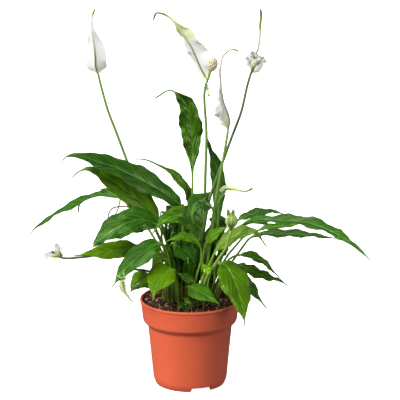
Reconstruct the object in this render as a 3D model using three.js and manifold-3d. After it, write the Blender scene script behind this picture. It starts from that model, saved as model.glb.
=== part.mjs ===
// A potted peace lily: a clump of arching, wavy-edged leaves and eight hooded white flowers,
// each on its own stalk, growing from peat in a thin moulded pot of 12 cm.
// Millimetres, +Z up. The origin is on the pot's axis, on the surface that the pot stands on.
// -Y is the side that faces the viewer, and +X is the viewer's right.

import * as THREE from "three";
import { mergeVertices } from "three/addons/utils/BufferGeometryUtils.js";
import Module from "manifold-3d";

const wasm = await Module();
wasm.setup();

// ---- Driving dimensions ----

const CLEARANCE = 0.3;

const POT_HEIGHT = 105;
const POT_RIM_RADIUS = 60;
const POT_WALL = 1.4;
const POT_SIDES = 40;
const LIP_HEIGHT = 3.6;
const LIP_STEP = 0.8;
const LIP_ROUND = 0.7;
const COLLAR_BOTTOM = 79;
const COLLAR_BOTTOM_RADIUS = 56.4;
const BODY_TOP = 73;
const BODY_TOP_RADIUS = 50.6;
const BODY_FOOT = 6;
const BODY_FOOT_RADIUS = 44.2;
const FOOT_RADIUS = 41.6;
const FOOT_RING = 1.8;
const FOOT_ROUND = 0.6;
const FLOOR_UNDERSIDE = 5.7;
const FOOT_GAPS = 3;
const FOOT_GAP_HEIGHT = 5.3;
const FOOT_GAP_WIDTH = 26;
const FOOT_GAP_SLOPE = 2;
const FOOT_GAP_START = 30;
const FOOT_GAP_REACH = 17;
const FIRST_FOOT_GAP = -71;
const DRAIN_HOLES = 6;
const DRAIN_RADIUS = 4;
const DRAIN_CIRCLE = 25;
const DRAIN_SIDES = 12;

const SOIL_EDGE = 100.5;
const SOIL_MOUND = 5;
const SOIL_ROUGHNESS = 0.7;
const SOIL_LUMPS = [[0.31, 0.05], [-0.06, 0.27], [0.11, -0.23]];
const SOIL_RINGS = [0, 20, 38];
const HOLE_SPARE = 0.1;
const STEM_FOOT = 88;
const SOIL_LINE = 106;

const BLADE_THICKNESS = 0.85;
const BLADE_SKEW = 0.72;
const FULLNESS_AT_NECK = 0.8;
const FULLNESS_AT_TIP = 1.2;
const THREAD_SHARE = 0.25;
const RIB_DEPTH = 0.5;
const FRILL = 0.07;
const EDGE_LAG = 1.9;
const PHASE_STEP = 2.4;
const TAIL_RADIUS = 0.85;
const TIP_RADIUS = 0.45;
const SECTION_ROUNDNESS = 0.9;
const STEM_SEGMENTS = 3;
const BLADE_STEP = 11;
const BLADE_STEPS = [5, 12];
const COLUMNS = [-1, -0.5, 0, 0.5, 1];
const STEM_RADIUS = 1.5;
const STEM_FLARE = 1.25;
const STALK_RADIUS = 1.4;
const STALK_TAPER = 0.85;
const STALK_SIDES = 6;
const STALK_SEGMENTS = 8;
const SPATHE_FOOT = 1.1;
const SPATHE_SEGMENTS = 10;
const FURLED_DEPTH = 0.8;
const SPADIX_SIDES = 10;
const SPADIX_RINGS = 8;
const SPADIX_RELIEF = 0.14;

// ---- Materials ----

const finish = (name, color, roughness) =>
  new THREE.MeshStandardMaterial({ name, color, roughness, metalness: 0 });

const TERRACOTTA = finish("pot_plastic", 0xc6553a, 0.5);
const PEAT = finish("peat", 0x2a1a12, 0.95);
const LEAF_GREENS = {
  dark: finish("leaf_dark", 0x235a1c, 0.35),
  mid: finish("leaf_mid", 0x2f6b12, 0.35),
  bright: finish("leaf_bright", 0x4b8c10, 0.38),
  young: finish("leaf_young", 0x6f9a2a, 0.4),
};
const STALK_GREEN = finish("stalk", 0x648c3c, 0.45);
const SPATHE_WHITE = finish("spathe", 0xe8e8e0, 0.5);
const SPATHE_GREEN = finish("spathe_young", 0xc9d98c, 0.5);
const SPADIX_CREAM = finish("spadix", 0xe8dcb0, 0.8);

// ---- Solids ----

const group = new THREE.Group();

function place(name, geometry, material) {
  const mesh = new THREE.Mesh(geometry, material);
  mesh.name = name;
  group.add(mesh);
}

// A closed geometry as a solid that can be joined and cut.
function toSolid(geometry) {
  const bare = geometry.index ? geometry.toNonIndexed() : geometry.clone();
  bare.deleteAttribute("normal");
  bare.deleteAttribute("uv");
  const merged = mergeVertices(bare, 1e-3);
  const corners = [];
  for (let i = 0; i < merged.index.count; i += 3) {
    const [a, b, c] = [0, 1, 2].map((k) => merged.index.getX(i + k));
    if (a !== b && b !== c && c !== a) corners.push(a, b, c);
  }
  return new wasm.Manifold(
    new wasm.Mesh({
      numProp: 3,
      vertProperties: merged.getAttribute("position").array,
      triVerts: new Uint32Array(corners),
    }),
  );
}

function toGeometry(solid) {
  const mesh = solid.getMesh();
  const geometry = new THREE.BufferGeometry();
  const points = new Float32Array(mesh.numVert * 3);
  for (let i = 0; i < mesh.numVert; i++) {
    points.set(mesh.vertProperties.subarray(i * mesh.numProp, i * mesh.numProp + 3), i * 3);
  }
  geometry.setAttribute("position", new THREE.BufferAttribute(points, 3));
  geometry.setIndex(new THREE.BufferAttribute(new Uint32Array(mesh.triVerts), 1));
  geometry.computeVertexNormals();
  return geometry;
}

// A closed skin over a row of rings of equal, even count. In the first half of a ring the quads
// are split one way, and in the second half the other way, so that the two faces of a thin blade
// are split alike. Each end is closed by quads from the first half of its ring to the second.
function skin(rings) {
  const count = rings[0].length;
  const points = rings.flat().flatMap((p) => [p.x, p.y, p.z]);
  const faces = [];
  for (let i = 0; i + 1 < rings.length; i++) {
    for (let j = 0; j < count; j++) {
      const a = i * count + j;
      const b = i * count + ((j + 1) % count);
      const [d, c] = [a + count, b + count];
      if (j < count / 2) faces.push(a, b, c, a, c, d);
      else faces.push(a, b, d, b, c, d);
    }
  }
  const last = (rings.length - 1) * count;
  for (let j = 0; j + 1 < count / 2; j++) {
    const [a, b, c, d] = [j, j + 1, count - 2 - j, count - 1 - j];
    faces.push(a, c, b, a, d, c);
    faces.push(last + a, last + b, last + c, last + a, last + c, last + d);
  }
  const geometry = new THREE.BufferGeometry();
  geometry.setAttribute("position", new THREE.Float32BufferAttribute(points, 3));
  geometry.setIndex(faces);
  geometry.computeVertexNormals();
  return geometry;
}

// ---- Pot: thin injection-moulded shell with a lip, a collar and three feet ----

function turned(profile) {
  const points = profile.map(([radius, height]) => new THREE.Vector2(radius, height));
  return new THREE.LatheGeometry(points, POT_SIDES).rotateX(Math.PI / 2);
}

const innerRim = POT_RIM_RADIUS - POT_WALL - LIP_STEP;
const innerCollar = COLLAR_BOTTOM_RADIUS - POT_WALL;
const innerBody = BODY_TOP_RADIUS - POT_WALL;
const innerFoot = BODY_FOOT_RADIUS - POT_WALL;
const floorTop = FLOOR_UNDERSIDE + POT_WALL;

function makePot() {
  const shell = toSolid(
    turned([
      [0, FLOOR_UNDERSIDE],
      [FOOT_RADIUS - FOOT_RING, FLOOR_UNDERSIDE],
      [FOOT_RADIUS - FOOT_RING, 0],
      [FOOT_RADIUS, 0],
      [FOOT_RADIUS + FOOT_ROUND, FOOT_ROUND],
      [BODY_FOOT_RADIUS, BODY_FOOT],
      [BODY_TOP_RADIUS, BODY_TOP],
      [COLLAR_BOTTOM_RADIUS, COLLAR_BOTTOM],
      [POT_RIM_RADIUS - LIP_STEP, POT_HEIGHT - LIP_HEIGHT],
      [POT_RIM_RADIUS, POT_HEIGHT - LIP_HEIGHT + LIP_STEP],
      [POT_RIM_RADIUS, POT_HEIGHT - LIP_ROUND],
      [POT_RIM_RADIUS - LIP_ROUND, POT_HEIGHT],
      [innerRim + LIP_ROUND, POT_HEIGHT],
      [innerRim, POT_HEIGHT - LIP_ROUND],
      [innerCollar, COLLAR_BOTTOM],
      [innerBody, BODY_TOP],
      [innerFoot, floorTop],
      [0, floorTop],
    ]),
  );
  const half = FOOT_GAP_WIDTH / 2;
  const gap = new THREE.Shape([
    new THREE.Vector2(-half, -1),
    new THREE.Vector2(half, -1),
    new THREE.Vector2(half - FOOT_GAP_SLOPE, FOOT_GAP_HEIGHT),
    new THREE.Vector2(-half + FOOT_GAP_SLOPE, FOOT_GAP_HEIGHT),
  ]);
  const cutters = [];
  for (let i = 0; i < FOOT_GAPS; i++) {
    const angle = THREE.MathUtils.degToRad(FIRST_FOOT_GAP + (i * 360) / FOOT_GAPS);
    cutters.push(
      new THREE.ExtrudeGeometry(gap, { depth: FOOT_GAP_REACH, bevelEnabled: false })
        .translate(0, 0, FOOT_GAP_START)
        .rotateX(Math.PI / 2)
        .rotateZ(angle + Math.PI / 2),
    );
  }
  for (let i = 0; i < DRAIN_HOLES; i++) {
    cutters.push(
      new THREE.CylinderGeometry(DRAIN_RADIUS, DRAIN_RADIUS, 6 * POT_WALL, DRAIN_SIDES)
        .rotateX(Math.PI / 2)
        .translate(DRAIN_CIRCLE, 0, floorTop)
        .rotateZ((i * 2 * Math.PI) / DRAIN_HOLES),
    );
  }
  return cutters.reduce((body, cutter) => body.subtract(toSolid(cutter)), shell);
}

place("pot", toGeometry(makePot()), TERRACOTTA);

// ---- Leaves ----
// A route runs from the foot of the stem, at the soil line, to the tip of the blade, and `neck`
// is the index of the point where the stem opens into the blade. `face` is the side to which
// the blade's upper face looks at the neck, and `tipFace` the same at the tip.

const LEAVES = [
  {
    name: "leaf_upright",
    route: [[-1, 10], [1, 9, 147], [2, 11, 196], [3, 12, 238], [3, 13, 259], [3, 16, 281], [2, 17, 302],
      [0, 17, 322], [-4, 15, 338], [-12, 12, 348], [-21, 9, 356], [-29, 7, 355], [-35, 5, 351],
      [-42, 4, 347]],
    neck: 4, width: 26, face: [0.1, -1, 0.2], tipFace: [-0.2, -0.9, 0.4], tail: 0.2, green: "mid",
  },
  {
    name: "leaf_twisted",
    route: [[14, 18], [28, 22, 148], [33, 26, 185], [34, 29, 212], [35, 31, 233], [33, 33, 255],
      [28, 33, 272], [24, 32, 284], [20, 31, 296]],
    neck: 2, width: 18, face: [0.3, -1, 0], tipFace: [-1, -0.1, 0.2], tail: 0.1, green: "dark",
  },
  {
    name: "leaf_left_high",
    route: [[-12, 4], [-12, 3, 149], [-8, 1, 192], [-10, -3, 218], [-21, -6, 229], [-41, -11, 244],
      [-64, -17, 258], [-87, -23, 271], [-107, -28, 279], [-125, -32, 286], [-138, -35, 288],
      [-145, -36, 285], [-148, -37, 279]],
    neck: 3, width: 31, face: [0.2, -0.75, 0.65], tipFace: [0.1, -0.6, 0.8], tail: 0.08, green: "dark",
  },
  {
    name: "leaf_left_bright",
    route: [[-20, -1], [-21, -2, 150], [-31, -3, 185], [-36, -4, 203], [-47, -4, 214], [-61, -5, 227],
      [-78, -7, 241], [-94, -9, 253], [-108, -11, 262], [-119, -13, 267], [-130, -15, 264],
      [-140, -17, 255]],
    neck: 3, width: 28, face: [0.2, -0.85, 0.5], tipFace: [0, -0.6, 0.8], tail: 0.2, green: "bright",
  },
  {
    name: "leaf_left_far",
    route: [[-22, 14], [-29, 18, 145], [-48, 26, 180], [-65, 38, 201], [-84, 52, 214], [-100, 64, 217],
      [-117, 78, 211], [-133, 92, 201], [-149, 105, 190], [-167, 119, 178], [-184, 133, 163],
      [-198, 144, 151], [-206, 150, 138]],
    neck: 4, width: 24, face: [0, -0.1, 1], tipFace: [-0.5, 0.2, 0.9], tail: 0.1, green: "dark",
  },
  {
    name: "leaf_left_glossy",
    route: [[-24, -7], [-28, -5, 151], [-33, -12, 180], [-35, -19, 197], [-47, -23, 206],
      [-61, -28, 209], [-76, -33, 206], [-90, -38, 200], [-101, -43, 193], [-109, -47, 186],
      [-113, -50, 181]],
    neck: 3, width: 32, face: [-0.2, -0.65, 0.75], tipFace: [-0.7, -0.6, 0.5], tail: 0.05, green: "mid",
  },
  {
    name: "leaf_left_yellow",
    route: [[-29, -3], [-32, -8, 145], [-45, -12, 169], [-61, -17, 175], [-74, -21, 173],
      [-90, -25, 171], [-106, -29, 170], [-121, -33, 169], [-131, -36, 168], [-138, -38, 168]],
    neck: 3, width: 24, face: [0, -0.6, 0.8], tipFace: [0, -0.6, 0.8], tail: 0.1, green: "bright",
  },
  {
    name: "leaf_front_left_dark",
    route: [[-21, -19], [-23, -24, 149], [-28, -29, 173], [-33, -33, 182], [-43, -40, 181],
      [-54, -48, 175], [-65, -56, 167], [-74, -63, 160], [-82, -69, 151], [-91, -75, 139]],
    neck: 3, width: 28, face: [-0.4, -0.75, 0.6], tipFace: [-0.6, -0.6, 0.5], tail: 0.1, green: "dark",
  },
  {
    name: "leaf_front_bright",
    route: [[-13, -27], [-17, -34, 136], [-18, -42, 152], [-27, -50, 152], [-35, -60, 146],
      [-40, -68, 138], [-42, -76, 125]],
    neck: 2, width: 31, face: [-0.1, -0.6, 0.8], tipFace: [-0.3, -1, 0.1], tail: 0.1, green: "bright",
  },
  {
    name: "leaf_front_left_low",
    route: [[-30, -14], [-35, -26, 133], [-43, -33, 143], [-50, -38, 142], [-58, -43, 139],
      [-65, -48, 134], [-70, -52, 127]],
    neck: 2, width: 18, face: [-0.3, -0.6, 0.75], tipFace: [-0.6, -0.6, 0.5], tail: 0.1, green: "mid",
  },
  {
    name: "leaf_front_low",
    route: [[-3, -23], [-5, -31, 123], [-3, -38, 131], [8, -45, 128], [20, -54, 124], [28, -60, 120],
      [35, -64, 117]],
    neck: 2, width: 24, face: [0.2, -0.6, 0.8], tipFace: [0.4, -0.6, 0.7], tail: 0.05, green: "bright",
  },
  {
    name: "leaf_over_rim",
    route: [[22, -17], [29, -22, 131], [30, -26, 150], [34, -30, 157], [43, -37, 154], [50, -46, 144],
      [56, -55, 131], [60, -64, 116], [63, -70, 104], [64, -74, 93]],
    neck: 3, width: 38, face: [0.2, -0.6, 0.8], tipFace: [0.5, -0.85, 0.2], tail: 0.1, green: "mid",
  },
  {
    name: "leaf_right_low_dark",
    route: [[31, -14], [41, -14, 137], [52, -14, 141], [64, -14, 130], [74, -15, 119], [82, -17, 109],
      [92, -20, 97]],
    neck: 2, width: 20, face: [0.5, -0.6, 0.6], tipFace: [0.7, -0.5, 0.5], tail: 0.15, green: "dark",
  },
  {
    name: "leaf_right_low",
    route: [[34, 2], [46, 4, 137], [55, 5, 145], [69, 5, 138], [84, 4, 132], [98, 3, 128], [109, 2, 125],
      [118, 1, 119]],
    neck: 2, width: 22, face: [0.2, 0, 1], tipFace: [0.4, 0, 1], tail: 0.08, green: "mid",
  },
  {
    name: "leaf_right_arched",
    route: [[28, 8], [41, 9, 142], [48, 10, 151], [58, 11, 155], [71, 12, 154], [83, 12, 149],
      [92, 12, 142], [101, 12, 133], [108, 12, 126]],
    neck: 3, width: 16, face: [0.1, 0.1, 1], tipFace: [0.8, 0, 0.6], tail: 0.1, green: "mid",
  },
  {
    name: "leaf_right_long",
    route: [[20, -8], [26, -12, 153], [38, -18, 184], [59, -26, 201], [77, -36, 211], [96, -48, 217],
      [116, -62, 220], [133, -76, 221], [151, -92, 219], [168, -110, 215], [183, -128, 207],
      [196, -142, 199], [203, -150, 193]],
    neck: 3, width: 27, face: [0, -0.2, 1], tipFace: [0.4, -0.3, 0.9], tail: 0.22, green: "mid",
  },
  {
    name: "leaf_right_middle",
    route: [[28, -6], [41, -6, 138], [51, -6, 153], [63, -8, 171], [71, -11, 182], [85, -14, 188],
      [104, -18, 192], [123, -22, 194], [140, -26, 193], [156, -30, 191], [174, -34, 190]],
    neck: 4, width: 22, face: [0, -0.3, 1], tipFace: [0.1, -0.3, 1], tail: 0.12, green: "dark",
  },
  {
    name: "leaf_right_upper",
    route: [[22, -1], [43, 2, 154], [55, 4, 169], [64, 5, 179], [78, 6, 186], [95, 7, 190],
      [112, 7, 192], [129, 7, 195], [144, 7, 197]],
    neck: 4, width: 20, face: [0, -0.25, 1], tipFace: [0, -0.25, 1], tail: 0.1, green: "mid",
  },
  {
    name: "leaf_right_back",
    route: [[18, 14], [36, 20, 159], [46, 26, 181], [56, 29, 193], [69, 32, 198], [81, 34, 201],
      [93, 36, 202], [104, 38, 201], [114, 40, 198]],
    neck: 3, width: 16, face: [0, -0.2, 1], tipFace: [0.2, -0.2, 1], tail: 0.1, green: "mid",
  },
  {
    name: "leaf_right_back_small",
    route: [[24, 20], [43, 28, 157], [58, 34, 180], [72, 40, 187], [85, 46, 185], [96, 52, 181],
      [106, 58, 176]],
    neck: 3, width: 14, face: [0, 0, 1], tipFace: [0.4, 0, 1], tail: 0.1, green: "mid",
  },
  {
    name: "leaf_young_right",
    route: [[9, -31], [15, -32, 139], [23, -32, 156], [30, -33, 172], [39, -36, 183], [52, -40, 192],
      [64, -44, 198], [75, -48, 200], [83, -50, 192], [90, -52, 182]],
    neck: 3, width: 24, face: [0, -0.5, 0.9], tipFace: [0.5, -0.5, 0.7], tail: 0.12, green: "young",
  },
  {
    name: "leaf_young_middle",
    route: [[13, -21], [14, -22, 140], [16, -22, 165], [19, -23, 177], [25, -26, 187], [33, -28, 194],
      [40, -30, 199], [47, -31, 202]],
    neck: 3, width: 18, face: [-0.2, -0.6, 0.8], tipFace: [0, -0.6, 0.8], tail: 0.1, green: "young",
  },
  {
    name: "leaf_middle_curved",
    route: [[4, -14], [8, -25, 139], [14, -34, 166], [11, -38, 182], [2, -42, 190], [-10, -46, 193],
      [-21, -49, 191], [-29, -51, 188]],
    neck: 3, width: 16, face: [0, -0.5, 0.85], tipFace: [-0.3, -0.5, 0.85], tail: 0.1, green: "bright",
  },
  {
    name: "leaf_middle_left",
    route: [[-3, -8], [1, -8, 150], [9, -11, 173], [13, -19, 193], [5, -25, 205], [-6, -31, 213],
      [-17, -36, 216], [-29, -41, 213], [-38, -44, 204], [-45, -46, 195]],
    neck: 3, width: 27, face: [0.2, -0.8, 0.6], tipFace: [-0.6, -0.7, 0.5], tail: 0.1, green: "mid",
  },
  {
    name: "leaf_middle_top",
    route: [[14, -9], [21, -12, 153], [26, -15, 191], [27, -16, 219], [19, -20, 226], [11, -25, 231],
      [6, -30, 229], [3, -34, 222], [3, -37, 214], [5, -39, 207]],
    neck: 3, width: 22, face: [-0.1, -0.5, 0.9], tipFace: [-0.2, -1, 0.2], tail: 0.1, green: "dark",
  },
  {
    name: "leaf_left_slender",
    route: [[-8, 16], [-7, 20, 144], [-4, 21, 190], [-2, 20, 217], [-3, 15, 232], [-11, 11, 245],
      [-21, 9, 256], [-34, 7, 265], [-48, 6, 272], [-56, 6, 274], [-65, 6, 274]],
    neck: 3, width: 15, face: [0.3, -0.6, 0.75], tipFace: [0, -0.4, 1], tail: 0.25, green: "bright",
  },
  {
    name: "leaf_back",
    route: [[0, 22], [7, 40, 163], [8, 62, 200], [10, 80, 208], [11, 98, 207], [12, 114, 194],
      [13, 126, 171], [15, 133, 140]],
    neck: 2, width: 28, face: [0, -0.3, 1], tipFace: [0, 0.9, 0.5], tail: 0.12, green: "dark",
  },
  {
    name: "leaf_back_left",
    route: [[-14, 22], [-15, 36, 164], [-27, 50, 181], [-43, 70, 180], [-60, 90, 179], [-75, 108, 174],
      [-91, 125, 160]],
    neck: 2, width: 24, face: [0, 0, 1], tipFace: [-0.4, 0.4, 0.8], tail: 0.12, green: "dark",
  },
  {
    name: "leaf_back_right",
    route: [[14, 26], [27, 44, 162], [29, 66, 181], [33, 84, 186], [36, 102, 179], [38, 116, 160],
      [40, 124, 135]],
    neck: 2, width: 22, face: [0, 0, 1], tipFace: [0, 0.9, 0.5], tail: 0.12, green: "dark",
  },
  {
    name: "leaf_back_middle",
    route: [[-8, 27], [-9, 50, 167], [-15, 72, 191], [-18, 90, 195], [-20, 108, 184], [-22, 122, 161],
      [-23, 130, 133]],
    neck: 2, width: 22, face: [0, 0, 1], tipFace: [0, 0.9, 0.5], tail: 0.12, green: "mid",
  },
  {
    name: "leaf_left_hidden",
    route: [[-16, 9], [-21, 10, 168], [-36, 15, 195], [-50, 22, 212], [-65, 30, 223], [-82, 38, 229],
      [-95, 43, 229], [-111, 48, 227]],
    neck: 4, width: 12, face: [0, -0.2, 1], tipFace: [0, 0, 1], tail: 0.35, green: "dark",
  },
  {
    name: "leaf_inner_dark",
    route: [[-12, -9], [-18, -10, 148], [-23, -12, 168], [-21, -14, 177], [-13, -17, 174],
      [-4, -20, 168], [3, -22, 160], [7, -23, 149]],
    neck: 3, width: 26, face: [0.3, -1, 0.3], tipFace: [0.4, -1, 0.2], tail: 0.08, green: "dark",
  },
  {
    name: "leaf_inner_olive",
    route: [[-17, -12], [-21, -14, 138], [-27, -17, 157], [-34, -19, 159], [-39, -21, 156],
      [-43, -23, 152], [-45, -24, 147]],
    neck: 2, width: 16, face: [-0.2, -0.7, 0.6], tipFace: [-0.5, -0.8, 0.4], tail: 0.1, green: "mid",
  },
  {
    name: "leaf_front_small",
    route: [[6, -28], [7, -30, 125], [4, -34, 135], [-3, -38, 140], [-9, -42, 145], [-14, -45, 149]],
    neck: 2, width: 12, face: [0, -0.7, 0.7], tipFace: [0, -0.8, 0.6], tail: 0.05, green: "mid",
  },
  {
    name: "leaf_sprout",
    route: [[16, -38], [22, -40, 138], [24, -43, 148], [20, -44, 153], [15, -46, 161]],
    neck: 2, width: 8, face: [0, -1, 0.3], tipFace: [0, -1, 0.3], tail: 0.05, green: "young",
  },
  {
    name: "leaf_seedling",
    route: [[2, -46], [1, -47, 112], [-3, -48, 116], [-7, -49, 120]],
    neck: 1, width: 8, face: [0, -0.6, 0.8], tipFace: [0, -0.8, 0.6], tail: 0.05, green: "bright",
  },
  {
    name: "leaf_inner_right",
    route: [[22, 6], [32, 7, 140], [34, 7, 153], [38, 7, 160], [43, 7, 168], [48, 8, 175]],
    neck: 2, width: 14, face: [-0.3, -0.8, 0.5], tipFace: [0, -0.8, 0.6], tail: 0.05, green: "dark",
  },
  {
    name: "leaf_inner_shade",
    route: [[9, 14], [11, 13, 128], [16, 13, 146], [20, 13, 162], [25, 14, 177], [28, 15, 191],
      [30, 16, 205]],
    neck: 2, width: 22, face: [0, -1, 0.2], tipFace: [0.2, -1, 0.2], tail: 0.06, green: "dark",
  },
];

function smooth(points) {
  const corners = points.map((p) => new THREE.Vector3(...p));
  return new THREE.CatmullRomCurve3(corners, false, "centripetal");
}

// The route as a smooth curve, with its foot sunk below the soil line.
function curveOf([[x, y], ...rest]) {
  return smooth([[x, y, STEM_FOOT], [x, y, SOIL_LINE], ...rest]);
}

// Places along a curve, in its own parameter: the buried foot is one straight piece, and the
// blade has a place every BLADE_STEP or so, within the limits on their number.
function stations(curve, pointCount, neckIndex) {
  const soil = 1 / (pointCount - 1);
  const neck = neckIndex / (pointCount - 1);
  const lengths = curve.getLengths(pointCount - 1);
  const blade = lengths[pointCount - 1] - lengths[neckIndex];
  const steps = THREE.MathUtils.clamp(Math.round(blade / BLADE_STEP), ...BLADE_STEPS);
  const places = [0];
  for (let i = 0; i < STEM_SEGMENTS; i++) places.push(soil + ((neck - soil) * i) / STEM_SEGMENTS);
  for (let i = 0; i <= steps; i++) places.push(neck + ((1 - neck) * i) / steps);
  return { places, neckStation: STEM_SEGMENTS + 1 };
}

// Half the width of a blade at a share q of its length: lance-shaped, widest at two fifths,
// and drawn out into a thin tail.
function halfWidth(q, width, tail) {
  const s = Math.min(q / (1 - tail), 1);
  const fullness = THREE.MathUtils.lerp(FULLNESS_AT_NECK, FULLNESS_AT_TIP, s);
  const leafy = (width / 2) * Math.sin(Math.PI * s ** BLADE_SKEW) ** fullness;
  const thread = THREE.MathUtils.lerp(TAIL_RADIUS, TIP_RADIUS, q);
  return Math.max(leafy, thread);
}

// A cross-section gives, for a column from -1 to 1 and a side that is 1 above and -1 below, how
// far a point lies across and how far up. Stems and furled spathes are oval, and a blade is
// dished along its midrib and waved along both edges, where it is wider than a thread.
function ovalSection(half, depth) {
  return (column, side) => {
    const round = Math.sqrt(1 - SECTION_ROUNDNESS * column ** 2);
    return [half * column, side * depth * round];
  };
}

function bladeSection(q, form) {
  const half = halfWidth(q, form.width, form.tail);
  const leafy = Math.min(half / (THREAD_SHARE * form.width), 1);
  return (column, side) => {
    const turn = 2 * Math.PI * form.waves * q + form.phase + (column > 0 ? EDGE_LAG : 0);
    const dish = half * (form.fold * Math.abs(column) - form.curl * column ** 2);
    const ripple = form.wave * leafy * column ** 2 * Math.sin(turn);
    const rib = side < 0 && column === 0 ? RIB_DEPTH * leafy * (1 - q) : 0;
    return [
      half * column * (1 + FRILL * leafy * Math.cos(turn)),
      dish + ripple + side * (BLADE_THICKNESS / 2 + rib),
    ];
  };
}

function sectionAt(q, stemShare, form) {
  if (stemShare !== null) {
    const radius = form.stem * THREE.MathUtils.lerp(STEM_FLARE, 1, stemShare);
    return ovalSection(radius, radius);
  }
  if (!form.furled) return bladeSection(q, form);
  const half = halfWidth(q, form.width, form.tail);
  return ovalSection(half, Math.max(FURLED_DEPTH * half, BLADE_THICKNESS / 2));
}

// Rings of a blade, with or without a stem: a ring has the upper row of points from left to
// right, and then the lower row from right to left. The stem keeps the direction that the neck
// has across the blade, so that it doesn't twist.
function bladeRings(curve, places, neckStation, form) {
  const face = new THREE.Vector3(...form.face).normalize();
  const tipFace = new THREE.Vector3(...form.tipFace).normalize();
  const centres = places.map((t) => curve.getPoint(t));
  const lengths = [0];
  for (let i = 1; i < centres.length; i++) {
    lengths.push(lengths[i - 1] + centres[i].distanceTo(centres[i - 1]));
  }
  const start = lengths[neckStation];
  const whole = lengths[lengths.length - 1] - start;
  const neckAcross = curve.getTangent(places[neckStation]).cross(face);
  return centres.map((centre, i) => {
    const q = Math.max((lengths[i] - start) / whole, 0);
    const stemShare = i > neckStation ? null : neckStation ? i / neckStation : 1;
    const section = sectionAt(q, stemShare, form);
    const tangent = curve.getTangent(places[i]);
    const looks = new THREE.Vector3().lerpVectors(face, tipFace, q);
    const bladeAcross = new THREE.Vector3().crossVectors(tangent, looks);
    const across = (i < neckStation ? neckAcross : bladeAcross)
      .clone()
      .projectOnPlane(tangent)
      .normalize();
    const up = new THREE.Vector3().crossVectors(across, tangent).normalize();
    const row = (side) =>
      COLUMNS.map((column) => {
        const [sideways, rise] = section(column, side);
        return centre.clone().addScaledVector(across, sideways).addScaledVector(up, rise);
      });
    return [...row(1), ...row(-1).reverse()];
  });
}

const LEAF_FORM = { stem: STEM_RADIUS, fold: 0.5, curl: 0.25, wave: 2.2, waves: 3 };

// The solid that clears a stem in the soil.
function stemHole(curve, places, radius) {
  const [foot, soil, next] = places.slice(0, 3).map((t) => curve.getPoint(t));
  foot.z -= CLEARANCE;
  const above = soil.clone().lerp(next, 0.5);
  const room = (radius + CLEARANCE) / Math.cos(Math.PI / STALK_SIDES) + HOLE_SPARE;
  const ring = (centre, spread) =>
    Array.from({ length: STALK_SIDES }, (_, k) => {
      const angle = (2 * Math.PI * k) / STALK_SIDES;
      return new THREE.Vector3(Math.cos(angle) * spread, Math.sin(angle) * spread, 0).add(centre);
    });
  return toSolid(skin([ring(foot, room), ring(soil, room), ring(above, room)]));
}

const holes = [];

LEAVES.forEach((leaf, index) => {
  const curve = curveOf(leaf.route);
  const { places, neckStation } = stations(curve, leaf.route.length + 1, leaf.neck + 1);
  const form = { ...LEAF_FORM, phase: index * PHASE_STEP, ...leaf };
  place(leaf.name, skin(bladeRings(curve, places, neckStation, form)), LEAF_GREENS[leaf.green]);
  holes.push(stemHole(curve, places, form.stem * STEM_FLARE));
});

// ---- Blooms ----
// A stalk runs from its foot at the soil line to the spadix. The spathe is a hooded blade that
// starts beside the stalk, and a furled one is still rolled up into a bud.

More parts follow.
